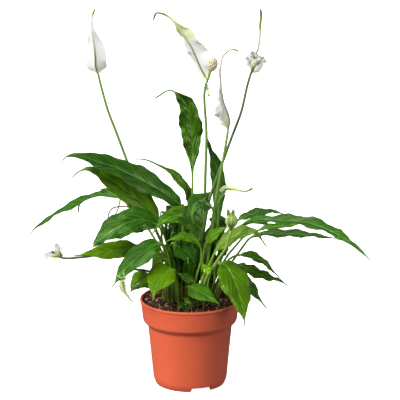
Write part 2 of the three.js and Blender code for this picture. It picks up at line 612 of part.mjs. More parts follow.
const BLOOMS = [
  {
    name: "bloom_left",
    stalk: [[-14, 16], [-17, 15, 129], [-29, 14, 158], [-42, 13, 188.5], [-54.5, 12, 219.5],
      [-65, 11, 245.5], [-74.5, 11, 271.5], [-87, 10, 307], [-95.5, 10, 330], [-103, 10, 357.5],
      [-107, 11, 375.5], [-108, 13, 383.5]],
    spathe: [[-109.5, 6.5, 384.5], [-110, 5.5, 396.5], [-111, 6, 408], [-113, 7, 421], [-114, 9, 434.5],
      [-113, 10, 444.5], [-109.5, 11, 452.5]],
    width: 28, face: [0.25, 1, -0.1], tipFace: [0.3, 1, 0], tail: 0.35, fold: 0.5, curl: 0.1,
    seat: 7, spadix: [15, 4.5],
  },
  {
    name: "bloom_top",
    stalk: [[8, 8], [11, 6, 148], [15.5, 4, 182], [17.5, 0, 221], [18.5, -3, 263.5], [19.5, -5, 307.5],
      [17.5, -5, 339.5], [17, -5, 353.5], [18.5, -6, 364.5], [21.5, -7, 373.5], [24, -8, 382]],
    spathe: [[13, -5, 384.5], [7.5, -4, 397], [1.5, -4, 410], [-7, -5, 424], [-15, -6, 435.5],
      [-23, -7, 444], [-32.5, -8, 449.5], [-39, -8, 449.5], [-42, -8, 441.5]],
    width: 26, face: [0.8, -0.45, 0.4], tipFace: [0.6, -0.5, 0.7], tail: 0.22, fold: 0.9, curl: 0.2,
    seat: 10, spadix: [16, 5.2],
  },
  {
    name: "bloom_furled",
    stalk: [[13, -3], [18, -5, 151], [25, -8, 191.5], [30.5, -10, 228.5], [38, -11, 271.5],
      [43, -11, 301.5], [44.5, -11, 312]],
    spathe: [[42.5, -11, 324], [41.5, -11, 332.5], [38.5, -11, 342], [36, -11, 351], [35.5, -11, 368],
      [35.5, -11, 386.5], [38.5, -11, 399], [44.5, -11, 407], [51, -11, 410], [57, -11, 407]],
    width: 12.5, face: [-0.9, -0.4, 0], tipFace: [-0.2, -1, 0.2], tail: 0.68, furled: true,
  },
  {
    name: "bloom_right",
    stalk: [[6, -2], [11, -2, 150.5], [16.5, -2, 190], [23, -3, 227], [34.5, -3, 261], [48, -3, 299.5],
      [60, -4, 333], [67, -5, 364.5], [70.5, -5, 377], [73.5, -6, 386]],
    spathe: [[75, 4, 388], [78, 12, 395.5], [80.5, 15, 403.5], [82, 15, 417.5], [82, 12, 434],
      [83, 10, 444], [82, 8, 452.5]],
    width: 19, face: [0.1, -1, 0.1], tipFace: [0, -1, 0], tail: 0.55, fold: 0.3, curl: 0,
    seat: 7, spadix: [12, 4.2],
  },
  {
    name: "bloom_low_left",
    stalk: [[-31, 3], [-35.5, -2, 150.5], [-49.5, -8, 170.5], [-71, -14, 171.5], [-94.5, -19, 167.5],
      [-117.5, -25, 164], [-134, -30, 163.5], [-145.5, -34, 164], [-152, -35, 165.5]],
    spathe: [[-157.5, -34, 172], [-161, -35, 178], [-162.5, -36, 184]],
    width: 16, face: [-0.6, -0.5, -0.6], tipFace: [-0.6, -0.5, -0.6], tail: 0.05, fold: 0.6, curl: 0,
    seat: 2, spadix: [7, 2],
  },
  {
    name: "bloom_hanging",
    stalk: [[-25, -13], [-26, -17, 127.5], [-35.5, -22, 139], [-50.5, -27, 146.5], [-63, -38, 151.5],
      [-71.5, -48, 155.5], [-75.5, -54, 155], [-76.5, -56, 151]],
    spathe: [[-77.5, -58, 145.5], [-76.5, -59, 138.5], [-74.5, -60, 131.5], [-71, -60, 125],
      [-67, -60, 119.5], [-63, -61, 118.5]],
    width: 6, face: [-0.6, -0.8, 0], tipFace: [-0.6, -0.8, 0], tail: 0.4, furled: true, young: true,
  },
  {
    name: "bloom_curled",
    stalk: [[14, 4], [20.5, 3, 149], [25, 2, 186.5], [28.5, 0, 211.5], [33.5, -2, 223],
      [38.5, -3, 232.5]],
    spathe: [[43, -5, 239.5], [49.5, -8, 240.5], [59, -13, 240], [66.5, -17, 240.5], [71.5, -19, 243],
      [74, -21, 246]],
    width: 9, face: [0, -0.8, 0.6], tipFace: [0, -0.8, 0.6], tail: 0.5, furled: true,
  },
  {
    name: "bloom_bud",
    stalk: [[13, -27], [19, -33, 137.5], [27, -39, 154], [35.5, -45, 169], [43, -51, 183],
      [45.5, -55, 194.5], [47.5, -57, 203.5]],
    spathe: [[48.5, -57, 214.5], [48.5, -57, 223], [48, -57, 226]],
    width: 14, face: [0, -1, 0], tipFace: [0, -1, 0], tail: 0.05, furled: true, young: true,
  },
];

const SPATHE_FORM = { fold: 0.5, curl: 0.2, wave: 0.9, waves: 2.3, phase: 0.6, stem: SPATHE_FOOT };

function stalkRings(curve, places, radius) {
  return places.map((t, i) => {
    const centre = curve.getPoint(t);
    const along = curve.getTangent(t);
    const across = new THREE.Vector3(0, -1, 0).cross(along).normalize();
    const up = new THREE.Vector3().crossVectors(across, along);
    const thick = radius * THREE.MathUtils.lerp(STEM_FLARE, STALK_TAPER, i / (places.length - 1));
    return Array.from({ length: STALK_SIDES }, (_, k) => {
      const angle = (-2 * Math.PI * k) / STALK_SIDES;
      return centre
        .clone()
        .addScaledVector(across, Math.cos(angle) * thick)
        .addScaledVector(up, Math.sin(angle) * thick);
    });
  });
}

// A blunt cone of florets: a ball drawn out along its axis, with every second point raised.
function makeSpadix(curve, length, radius) {
  const along = curve.getTangent(1);
  const geometry = new THREE.SphereGeometry(1, SPADIX_SIDES, SPADIX_RINGS);
  const points = geometry.getAttribute("position");
  for (let i = 0; i < points.count; i++) {
    const ring = Math.floor(i / (SPADIX_SIDES + 1));
    const side = (i % (SPADIX_SIDES + 1)) % SPADIX_SIDES;
    const bump = (ring + side) % 2 ? 1 : 1 - SPADIX_RELIEF;
    points.setXYZ(i, points.getX(i) * bump, points.getY(i), points.getZ(i) * bump);
  }
  const upright = new THREE.Vector3(0, 1, 0);
  const centre = curve.getPoint(1).addScaledVector(along, length / 2 + CLEARANCE);
  return geometry
    .scale(radius, length / 2, radius)
    .applyQuaternion(new THREE.Quaternion().setFromUnitVectors(upright, along))
    .translate(centre.x, centre.y, centre.z);
}

// The foot of a spathe: a bud stands on the end of its stalk, and an open spathe springs from
// the side of the stalk's last piece that its upper face looks away from.
function seatOf(stalk, places, bloom) {
  const [before, end] = places.slice(-2).map((t) => stalk.getPoint(t));
  if (bloom.furled) return end.addScaledVector(stalk.getTangent(1), CLEARANCE).toArray();
  const along = end.clone().sub(before).normalize();
  const away = new THREE.Vector3(...bloom.face).projectOnPlane(along).normalize();
  const reach = STALK_TAPER * STALK_RADIUS + SPATHE_FOOT + CLEARANCE;
  return end.addScaledVector(along, -bloom.seat).addScaledVector(away, -reach).toArray();
}

for (const bloom of BLOOMS) {
  const stalk = curveOf(bloom.stalk);
  const soil = 1 / bloom.stalk.length;
  const places = [0];
  for (let i = 0; i <= STALK_SEGMENTS; i++) places.push(soil + ((1 - soil) * i) / STALK_SEGMENTS);
  place(`${bloom.name}_stalk`, skin(stalkRings(stalk, places, STALK_RADIUS)), STALK_GREEN);
  holes.push(stemHole(stalk, places, STALK_RADIUS * STEM_FLARE));

  const spathe = smooth([seatOf(stalk, places, bloom), ...bloom.spathe]);
  const form = { ...SPATHE_FORM, ...bloom };
  const steps = Array.from({ length: SPATHE_SEGMENTS + 1 }, (_, i) => i / SPATHE_SEGMENTS);
  const white = bloom.young ? SPATHE_GREEN : SPATHE_WHITE;
  place(`${bloom.name}_spathe`, skin(bladeRings(spathe, steps, 0, form)), white);
  if (bloom.spadix) place(`${bloom.name}_spadix`, makeSpadix(stalk, ...bloom.spadix), SPADIX_CREAM);
}

// ---- Soil: peat, mounded a little round the crown, with a plain hole for each stem ----

function makeSoil() {
  const wall = (height) =>
    THREE.MathUtils.mapLinear(height, COLLAR_BOTTOM, POT_HEIGHT, innerCollar, innerRim);
  const bottom = floorTop + CLEARANCE;
  const profile = [
    [0, bottom],
    [innerFoot - CLEARANCE, bottom],
    [innerBody - CLEARANCE, BODY_TOP],
    [innerCollar - CLEARANCE, COLLAR_BOTTOM],
    [wall(SOIL_EDGE) - CLEARANCE, SOIL_EDGE],
    ...SOIL_RINGS.toReversed().map((radius) => [radius, SOIL_EDGE]),
  ];
  const geometry = turned(profile);
  const points = geometry.getAttribute("position");
  for (let i = 0; i < points.count; i++) {
    const [x, y, z] = [points.getX(i), points.getY(i), points.getZ(i)];
    if (z < SOIL_EDGE - 0.01) continue;
    const share = Math.min(Math.hypot(x, y) / wall(SOIL_EDGE), 1);
    const lumps = SOIL_LUMPS.reduce((sum, [a, b]) => sum + Math.sin(a * x + b * y + 1), 0);
    const rise = SOIL_MOUND * (1 - share ** 2) + SOIL_ROUGHNESS * lumps * (1 - share ** 6);
    points.setZ(i, z + Math.max(rise, 0));
  }
  return holes.reduce((peat, hole) => peat.subtract(hole), toSolid(geometry));
}

place("soil", toGeometry(makeSoil()), PEAT);

export default group;
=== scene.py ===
"""A potted peace lily: glossy leaves with waved edges and hooded white flowers, grown from peat in a
thin moulded pot. The script works in metres, and a place on the plant is written in millimetres and
multiplied by MM. -Y is the side that faces the viewer, and +X is the viewer's right."""

import math

import bpy
import numpy as np
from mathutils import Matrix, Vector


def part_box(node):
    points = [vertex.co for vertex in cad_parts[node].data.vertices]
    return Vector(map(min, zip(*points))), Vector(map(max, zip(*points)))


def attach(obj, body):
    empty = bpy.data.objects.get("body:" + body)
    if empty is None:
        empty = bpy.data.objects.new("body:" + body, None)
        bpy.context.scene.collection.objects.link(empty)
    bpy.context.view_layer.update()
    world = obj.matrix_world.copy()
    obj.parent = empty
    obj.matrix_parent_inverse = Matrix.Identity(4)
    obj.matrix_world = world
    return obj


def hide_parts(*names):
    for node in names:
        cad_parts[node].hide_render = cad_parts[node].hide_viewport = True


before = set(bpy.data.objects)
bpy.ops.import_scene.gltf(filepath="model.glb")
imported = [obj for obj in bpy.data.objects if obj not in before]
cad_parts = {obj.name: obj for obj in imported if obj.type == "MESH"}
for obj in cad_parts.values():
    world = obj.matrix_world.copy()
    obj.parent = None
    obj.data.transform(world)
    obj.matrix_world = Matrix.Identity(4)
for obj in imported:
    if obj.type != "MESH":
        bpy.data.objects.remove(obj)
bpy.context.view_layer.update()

# ---- Studio ----
# A white table lit from within, white screens all round, soft lights that give the shading, and
# mirrored lights that only show as gleams. The camera stands 2.2 m away and looks a little down.

CAMERA_PLACE = (0.012, -2.196, 0.789)
CAMERA_PITCH = 14.38
CAMERA_LENS = 172.4
SENSOR_WIDTH = 36
WHITE = (1, 1, 1, 1)
SCREEN_LIGHT = 0.14
TABLE_SIZE = 30
TABLE_FINISH = {
    "Base Color": (0.8, 0.8, 0.8, 1),
    "Roughness": 0.9,
    "Emission Color": WHITE,
    "Emission Strength": 0.9,
}

# In degrees: heading turns from the front towards the right, height rises from the table, and spread
# is how wide a light looks.
SOFT_LIGHTS = {
    "light_front_left": dict(heading=-55, height=31, spread=26, strength=3.5),
    "light_above": dict(heading=-25, height=62, spread=26, strength=1.2),
    "light_front": dict(heading=42, height=20, spread=30, strength=1),
    "light_behind": dict(heading=-155, height=54, spread=20, strength=1.2),
    "light_left": dict(heading=-92, height=28, spread=20, strength=1.3),
}
MIRRORED_LIGHTS = {
    "mirrored_left": dict(heading=-82, height=28, spread=24, strength=0.9),
    "mirrored_above": dict(heading=-25, height=62, spread=6, strength=0.6),
    "mirrored_low_left": dict(heading=-48, height=8, spread=28, strength=0.9),
    "mirrored_right": dict(heading=62, height=8, spread=24, strength=1.5),
    "mirrored_back_left": dict(heading=-136, height=56, spread=8, strength=0.5),
}

scene = bpy.context.scene
scene.view_settings.view_transform = "Standard"

camera = bpy.data.objects.new("camera", bpy.data.cameras.new("camera"))
camera.location = CAMERA_PLACE
camera.rotation_euler = (math.radians(90 - CAMERA_PITCH), 0, 0)
camera.data.sensor_width = SENSOR_WIDTH
camera.data.lens = CAMERA_LENS
scene.collection.objects.link(camera)
scene.camera = camera

scene.world = bpy.data.worlds.new("white_screens")
scene.world.use_nodes = True
screens = scene.world.node_tree.nodes["Background"].inputs
screens["Color"].default_value = WHITE
screens["Strength"].default_value = SCREEN_LIGHT

for name, light in (SOFT_LIGHTS | MIRRORED_LIGHTS).items():
    lamp = bpy.data.objects.new(name, bpy.data.lights.new(name, "SUN"))
    lamp.data.energy = light["strength"]
    lamp.data.angle = math.radians(light["spread"])
    lamp.visible_glossy = name in MIRRORED_LIGHTS
    lamp.visible_diffuse = name in SOFT_LIGHTS
    lamp.rotation_euler = (math.radians(90 - light["height"]), 0, math.radians(light["heading"]))
    scene.collection.objects.link(lamp)


def make_mesh(name, points, faces, values=None, sharp_angle=None):
    """A smooth mesh object from an array of points and arrays of faces, one array for each number of
    corners. values are named numbers, one for each point, that a material can read. Edges sharper
    than sharp_angle, in degrees, stay crisp."""
    mesh = bpy.data.meshes.new(name)
    corners = np.concatenate([np.asarray(f).ravel() for f in faces])
    counts = np.concatenate([np.full(len(f), np.shape(f)[1]) for f in faces])
    starts = np.concatenate([[0], np.cumsum(counts)[:-1]])
    mesh.vertices.add(len(points))
    mesh.vertices.foreach_set("co", np.asarray(points, np.float32).ravel())
    mesh.loops.add(len(corners))
    mesh.loops.foreach_set("vertex_index", corners.astype(np.int32))
    mesh.polygons.add(len(counts))
    mesh.polygons.foreach_set("loop_start", starts.astype(np.int32))
    mesh.update(calc_edges=True)
    mesh.shade_smooth()
    if sharp_angle:
        mesh.set_sharp_from_angle(angle=math.radians(sharp_angle))
    for label, numbers in (values or {}).items():
        attribute = mesh.attributes.new(label, "FLOAT", "POINT")
        attribute.data.foreach_set("value", np.asarray(numbers, np.float32).ravel())
    piece = bpy.data.objects.new(name, mesh)
    scene.collection.objects.link(piece)
    return piece


def make_material(name, finish):
    """A material, its node tree and the inputs of its Principled shader. finish gives the inputs
    that are the same all over the surface."""
    material = bpy.data.materials.new(name)
    material.use_nodes = True
    inputs = material.node_tree.nodes["Principled BSDF"].inputs
    for label, value in finish.items():
        inputs[label].default_value = value
    return material, material.node_tree, inputs


table_top = make_mesh(
    "table_top",
    np.array([[-1, -1, 0], [1, -1, 0], [1, 1, 0], [-1, 1, 0]]) * TABLE_SIZE / 2,
    [np.array([[0, 1, 2, 3]])],
)
table_top.data.materials.append(make_material("table_white", TABLE_FINISH)[0])
table_top.visible_diffuse = False
table_top.visible_glossy = False

# ---- Pot ----
# A grower's pot, injection-moulded in one piece from terracotta-coloured plastic: a tapered body, a
# wider collar that ends in a rolled lip, a foot ring with three gaps, and a floor with six drain
# holes. Its satin skin has two faint mould beads and fine scuffs.

MM = 0.001
POT_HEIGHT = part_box("pot")[1].z
RIM_RADIUS = POT_HEIGHT * 60 / 105
POT_WALL = 1.4 * MM
COLLAR_BOTTOM = (56.4 * MM, 79 * MM)
BODY_TOP = (50.6 * MM, 73 * MM)
BODY_FOOT = (44.2 * MM, 6 * MM)
FOOT_RADIUS = 41.6 * MM
FOOT_WIDTH = 1.8 * MM
FLOOR_UNDERSIDE = 5.7 * MM
LIP_HEIGHT = 3.6 * MM
LIP_STEP = 0.8 * MM
BEAD_HEIGHTS = (99 * MM, 11 * MM)
BEAD_RISE = 0.18 * MM
BEAD_WIDTH = 0.6 * MM
FOOT_GAP_MIDDLES = (-71, 49, 169)
FOOT_GAP_LIFT = 5.3 * MM
FOOT_GAP_HALF = 15.3
FOOT_GAP_RAMP = 2.9
FLOOR_MIDDLE = 0.5 * MM
DRAIN_RADIUS = 4 * MM
DRAIN_CIRCLE = 25 * MM
DRAIN_HOLES = 6
DRAIN_SIDES = 32
POT_SIDES = 192
POT_RINGS = 260
TERRACOTTA = (0.64, 0.108, 0.045, 1)
TERRACOTTA_SCUFF = (0.72, 0.19, 0.11, 1)
PLASTIC_DRIFT = (0.87, 1.12)
PLASTIC_ROUGHNESS = (0.36, 0.52)
PLASTIC_GRAIN = dict(scale=2600.0, depth=0.03 * MM, detail=2.0)
DRIFT_SCALE = 22.0
SCUFFS = dict(scale=70.0, cut=(0.6, 0.82), detail=5.0, roughness=0.75)
SCUFF_FLATNESS = 7.0


def full_turn(count):
    """Even angles round a full turn."""
    return np.linspace(0, 2 * math.pi, count, endpoint=False)


def lengths_along(points):
    """The length of a line up to each of its points."""
    return np.concatenate([[0], np.cumsum(np.linalg.norm(np.diff(points, axis=0), axis=1))])


def grid_faces(rows, columns, first=0):
    """Quads between the rings of a grid whose points are numbered ring by ring from first on."""
    row, column = np.meshgrid(np.arange(rows - 1), np.arange(columns), indexing="ij")
    a = (row * columns + column).ravel() + first
    b = (row * columns + (column + 1) % columns).ravel() + first
    return np.stack([a, b, b + columns, a + columns], 1)


def capped_faces(rows, columns):
    """The same quads, with one flat face across each end of the grid."""
    ring = np.arange(columns)[None]
    return [grid_faces(rows, columns), np.concatenate([ring[:, ::-1], ring + (rows - 1) * columns])]


def copies_of(faces, count, corners):
    """The faces of count like bodies whose points lie one after another, corners points to each."""
    step = (np.arange(count) * corners)[:, None, None]
    return [(f[None] + step).reshape(-1, f.shape[1]) for f in faces]


def rounded(corners, steps=5):
    """A profile through corners (radius, height, rounding). Each corner is cut back by its rounding
    and bridged by the curve (1-t)^2 start + 2t(1-t) corner + t^2 end."""
    corners = np.array(corners)
    place, rounding = corners[:, :2], corners[:, 2:]
    before, after = np.roll(place, 1, 0) - place, np.roll(place, -1, 0) - place
    start = place + before / np.linalg.norm(before, axis=1, keepdims=True) * rounding
    end = place + after / np.linalg.norm(after, axis=1, keepdims=True) * rounding
    t = np.linspace(0, 1, steps)[None, :, None]
    curve = (1 - t) ** 2 * start[:, None] + 2 * t * (1 - t) * place[:, None] + t**2 * end[:, None]
    return curve.reshape(-1, 2)


def make_pot():
    """The pot's surface: radius and height follow a profile from the floor's underside over the foot,
    up the wall, over the lip and down inside. In the foot gaps no outer point is under the lift."""
    profile = rounded([
        (FLOOR_MIDDLE, FLOOR_UNDERSIDE, 0),
        (FOOT_RADIUS - FOOT_WIDTH, FLOOR_UNDERSIDE, 0.3 * MM),
        (FOOT_RADIUS - FOOT_WIDTH, 0, 0.3 * MM),
        (FOOT_RADIUS, 0, 0.3 * MM),
        (*BODY_FOOT, 3 * MM),
        (*BODY_TOP, 1.2 * MM),
        (*COLLAR_BOTTOM, 1.4 * MM),
        (RIM_RADIUS - LIP_STEP, POT_HEIGHT - LIP_HEIGHT, 0.35 * MM),
        (RIM_RADIUS, POT_HEIGHT - LIP_HEIGHT + LIP_STEP, 0.4 * MM),
        (RIM_RADIUS, POT_HEIGHT, 0.9 * MM),
        (RIM_RADIUS - POT_WALL - LIP_STEP, POT_HEIGHT, 0.6 * MM),
        (COLLAR_BOTTOM[0] - POT_WALL, COLLAR_BOTTOM[1], 1.2 * MM),
        (BODY_TOP[0] - POT_WALL, BODY_TOP[1], 1.2 * MM),
        (BODY_FOOT[0] - POT_WALL, FLOOR_UNDERSIDE + POT_WALL, 2 * MM),
        (FLOOR_MIDDLE, FLOOR_UNDERSIDE + POT_WALL, 0),
    ])
    lengths = lengths_along(profile)
    places = np.unique(np.round(np.concatenate([lengths, np.linspace(0, lengths[-1], POT_RINGS)]), 6))
    radius = np.interp(places, lengths, profile[:, 0])
    height = np.interp(places, lengths, profile[:, 1])
    outside = np.arange(len(places)) <= height.argmax()
    for bead in BEAD_HEIGHTS:
        radius = radius + outside * BEAD_RISE * np.exp(-(((height - bead) / BEAD_WIDTH) ** 2))
    gap = FOOT_GAP_HALF + FOOT_GAP_RAMP
    gap_edges = np.add.outer(FOOT_GAP_MIDDLES, [-gap, -FOOT_GAP_HALF, FOOT_GAP_HALF, gap]).ravel()
    turns = np.linspace(-180, 180, POT_SIDES, endpoint=False)
    turns = np.concatenate([turns, (gap_edges + 180) % 360 - 180])
    angle = np.radians(np.unique(np.round(turns, 4)))
    off = np.abs((np.degrees(angle)[:, None] - FOOT_GAP_MIDDLES + 180) % 360 - 180).min(1)
    lift = FOOT_GAP_LIFT * np.clip((gap - off) / FOOT_GAP_RAMP, 0, 1)
    r, z = np.broadcast_arrays(radius[:, None], height[:, None] + 0 * angle)
    z = np.where(outside[:, None], np.maximum(z, lift), z)
    points = np.stack([r * np.cos(angle), r * np.sin(angle), z], 2).reshape(-1, 3)
    return make_mesh("flower_pot", points, capped_faces(len(places), len(angle)), sharp_angle=40)


def drill_drains(pot):
    """Cuts the drain holes: a ring of upright rods is taken away from the floor."""
    middle = full_turn(DRAIN_HOLES)[:, None, None]
    turn = full_turn(DRAIN_SIDES)[None, None]
    height = FLOOR_UNDERSIDE + POT_WALL * np.array([-2, 3])[None, :, None]
    x = DRAIN_CIRCLE * np.cos(middle) + DRAIN_RADIUS * np.cos(turn) + 0 * height
    y = DRAIN_CIRCLE * np.sin(middle) + DRAIN_RADIUS * np.sin(turn) + 0 * height
    points = np.stack([x, y, height + 0 * x], 3).reshape(-1, 3)
    faces = copies_of(capped_faces(2, DRAIN_SIDES), DRAIN_HOLES, 2 * DRAIN_SIDES)
    rods = make_mesh("drain_rods", points, faces)
    cut = pot.modifiers.new("drains", "BOOLEAN")
    cut.object = rods
    pot.data = bpy.data.meshes.new_from_object(pot.evaluated_get(bpy.context.evaluated_depsgraph_get()))
    pot.modifiers.clear()
    bpy.data.objects.remove(rods)


def add_node(tree, kind, sockets=None, **settings):
    """Adds a shader node. settings are its own properties, and sockets gives each input, by name or
    number, a value or the output that feeds it."""
    node = tree.nodes.new("ShaderNode" + kind)
    for key, value in settings.items():
        setattr(node, key, value)
    for key, value in (sockets or {}).items():
        if isinstance(value, bpy.types.NodeSocket):
            tree.links.new(value, node.inputs[key])
        else:
            node.inputs[key].default_value = value
    return node


def feed(tree, inputs, sources):
    """Links each source to the input of its name."""
    for label, source in sources.items():
        tree.links.new(source, inputs[label])


def place_on(tree):
    """Where a point of the surface lies, in metres."""
    return add_node(tree, "TexCoord").outputs["Object"]


def mix(tree, share, a, b):
    """The colour a where share is 0 and b where it is 1."""
    node = add_node(tree, "Mix", {0: share, 6: a, 7: b}, data_type="RGBA")
    return node.outputs[2]


def spread(tree, value, low, high, to_low=0.0, to_high=1.0):
    """value taken from the range low to high to the range to_low to to_high, and held inside it."""
    sockets = {"Value": value, "From Min": low, "From Max": high, "To Min": to_low, "To Max": to_high}
    return add_node(tree, "MapRange", sockets).outputs[0]


def noise(tree, place, scale, detail=3.0, roughness=0.6):
    """Fractal noise at a place, with about scale lumps to the metre."""
    sockets = {"Vector": place, "Scale": scale, "Detail": detail, "Roughness": roughness}
    return add_node(tree, "TexNoise", sockets).outputs["Fac"]


def clouds(tree, place, scale, cut, detail=3.0, roughness=0.6):
    """Noise taken from the range of cut's first two numbers to 0 to 1, or to its last two."""
    return spread(tree, noise(tree, place, scale, detail, roughness), *cut)


def bump(tree, height, distance, strength=1.0):
    """The normal of a relief whose height of 1 stands for distance."""
    sockets = {"Height": height, "Distance": distance, "Strength": strength}
    return add_node(tree, "Bump", sockets).outputs["Normal"]


def add_group(name, inputs, outputs):
    """An empty shader node group, its input sockets and its output sockets."""
    tree = bpy.data.node_groups.new(name, "ShaderNodeTree")
    for label, kind in inputs.items():
        tree.interface.new_socket(label, in_out="INPUT", socket_type="NodeSocket" + kind)
    for label, kind in outputs.items():
        tree.interface.new_socket(label, in_out="OUTPUT", socket_type="NodeSocket" + kind)
    return tree, tree.nodes.new("NodeGroupInput").outputs, tree.nodes.new("NodeGroupOutput").inputs


def use_group(tree, group, sockets):
    """Places a node group in a tree and gives its outputs."""
    return add_node(tree, "Group", sockets, node_tree=group).outputs


def make_grain_group():
    """Fine grain: the relief is one noise of small even lumps."""
    tree, given, out = add_group("fine_grain", {"Scale": "Float", "Detail": "Float"}, {"Height": "Float"})
    feed(tree, out, {"Height": noise(tree, place_on(tree), given["Scale"], given["Detail"])})
    return tree


fine_grain = make_grain_group()


def grained(tree, scale, depth, detail=3.0):
    """The normal of a skin with about scale grains to the metre, depth deep."""
    return bump(tree, use_group(tree, fine_grain, {"Scale": scale, "Detail": detail})["Height"], depth)


def toned(colour, share):
    """A colour times a share, lighter or darker and still opaque."""
    return (*(min(c * share, 1) for c in colour[:3]), 1)


def make_pot_plastic():
    """Satin plastic. The colour drifts a little, level scuffs are paler and duller, and the skin has
    the fine orange-peel of a mould."""
    material, tree, inputs = make_material("terracotta_plastic", {})
    place = place_on(tree)
    level = add_node(tree, "Mapping", {"Vector": place, "Scale": (1.0, 1.0, SCUFF_FLATNESS)}).outputs[0]
    scuff = clouds(tree, level, **SCUFFS)
    shades = [toned(TERRACOTTA, share) for share in PLASTIC_DRIFT]
    plain = mix(tree, noise(tree, place, DRIFT_SCALE), *shades)
    feed(tree, inputs, {
        "Base Color": mix(tree, scuff, plain, TERRACOTTA_SCUFF),
        "Roughness": spread(tree, scuff, 0, 1, *PLASTIC_ROUGHNESS),
        "Normal": grained(tree, **PLASTIC_GRAIN),
    })
    return material


flower_pot = make_pot()
drill_drains(flower_pot)
flower_pot.data.materials.append(make_pot_plastic())
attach(flower_pot, "root")
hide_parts("pot")

# ---- Soil ----
# Damp peat, filled in loose to just under the lip and mounded a little round the crown. Its top is
# crumbs, tan bark chips and pale root fibres, which lie half sunk in it.

SOIL_EDGE = 100.5 * MM
SOIL_MOUND = 5 * MM
SOIL_BOTTOM = 7.4 * MM
SOIL_GAP = 0.3 * MM
SOIL_RADIUS = 57.4 * MM
LUMP_HEIGHT = 0.028
LUMP_FADE = 0.6
SOIL_RINGS = 110
SOIL_SPOKES = 300
SOIL_WAVES = 40
CRUMBS = 1500
CRUMB_SIZES = (0.6 * MM, 2.4 * MM)
CRUMB_FORM = (1, 0.9, 0.8)
CHIPS = 260
CHIP_SIZES = (1.8 * MM, 4.2 * MM)
CHIP_FORM = (1.5, 0.9, 0.4)
SCATTER_MARGIN = 2 * MM
LUMP_CAP = 0.3
LUMP_ROUGHNESS = (0.75, 1.2)
LUMP_STRETCH = (0.7, 1.2)
FIBRES = 90
FIBRE_RADIUS = 0.22 * MM
FIBRE_LENGTHS = (6 * MM, 20 * MM)
FIBRE_BEND = 1.8
FIBRE_ARCH = 3 * MM
FIBRE_LIFT = 0.4 * MM
TONE_REACH = 0.98
PEAT_DARK = (0.012, 0.007, 0.004, 1)
PEAT_BROWN = (0.058, 0.026, 0.012, 1)
BARK_TAN = (0.46, 0.24, 0.13, 1)
FIBRE_PALE = (0.48, 0.38, 0.25, 1)
GRAIN_CUT = (0.4, 0.62)
COARSE_GRAINS = dict(scale=260.0, detail=6.0, roughness=0.7)
FINE_GRAINS = dict(scale=1300.0, detail=4.0, roughness=0.7)
PEAT_RELIEF = 1.2 * MM
PEAT_FINISH = {"Roughness": 0.9}
LITTER_RELIEF = 0.6 * MM
LITTER_FINISH = {"Roughness": 0.85}

luck = np.random.default_rng(7)
lump_length = luck.uniform(3 * MM, 16 * MM, SOIL_WAVES)
lump_angle = luck.uniform(0, 2 * math.pi, SOIL_WAVES)
lump_start = luck.uniform(0, 2 * math.pi, SOIL_WAVES)


def soil_height(x, y):
    """Height of the peat: a mound SOIL_MOUND (1 - share^2), and lumps that are a sum of sines whose
    lengths, directions and starts are drawn by luck and whose heights go with their lengths. The
    lumps fade towards the wall."""
    share = np.minimum(np.hypot(x, y) / SOIL_RADIUS, 1)
    run = x[..., None] * np.cos(lump_angle) + y[..., None] * np.sin(lump_angle)
    lumps = (lump_length * LUMP_HEIGHT * np.sin(2 * math.pi * run / lump_length + lump_start)).sum(-1)
    return SOIL_EDGE + SOIL_MOUND * (1 - share**2) + lumps * (1 - LUMP_FADE * share**8)


def flipped(faces):
    """The same faces, looking to the other side."""
    return [f[:, ::-1] for f in faces]


def make_soil():
    """The peat's body: rings from the middle of its top out to the wall, and down past the corners of
    the pot's inside, SOIL_GAP away from them."""
    radius = np.linspace(0.2 * MM, SOIL_RADIUS, SOIL_RINGS)[:, None]
    angle = full_turn(SOIL_SPOKES)[None]
    x, y = radius * np.cos(angle), radius * np.sin(angle)
    top = np.stack([x, y, soil_height(x, y)], 2)
    corners = np.array([COLLAR_BOTTOM, BODY_TOP, (BODY_FOOT[0], SOIL_BOTTOM)])
    radius = corners[:, :1] - POT_WALL - SOIL_GAP
    side = np.stack([radius * np.cos(angle), radius * np.sin(angle), corners[:, 1:] + 0 * angle], 2)
    points = np.concatenate([top, side])
    return make_mesh("peat", points.reshape(-1, 3), flipped(capped_faces(len(points), SOIL_SPOKES)))


def scatter(count):
    """Places spread evenly over the top of the peat."""
    radius = (SOIL_RADIUS - SCATTER_MARGIN) * np.sqrt(luck.uniform(0, 1, count))
    angle = luck.uniform(0, 2 * math.pi, count)
    x, y = radius * np.cos(angle), radius * np.sin(angle)
    return np.stack([x, y, soil_height(x, y)], 1)


def turned_at_random(count):
    """Rotations drawn by luck, as matrices made from quaternions of even spread."""
    w, x, y, z = (v[:, 0] for v in np.split(luck.normal(size=(count, 4)), 4, 1))
    w, x, y, z = (v / np.sqrt(w**2 + x**2 + y**2 + z**2) for v in (w, x, y, z))
    rows = [1 - 2 * (y * y + z * z), 2 * (x * y - w * z), 2 * (x * z + w * y),
            2 * (x * y + w * z), 1 - 2 * (x * x + z * z), 2 * (y * z - w * x),
            2 * (x * z - w * y), 2 * (y * z + w * x), 1 - 2 * (x * x + y * y)]
    return np.stack(rows, 1).reshape(-1, 3, 3)


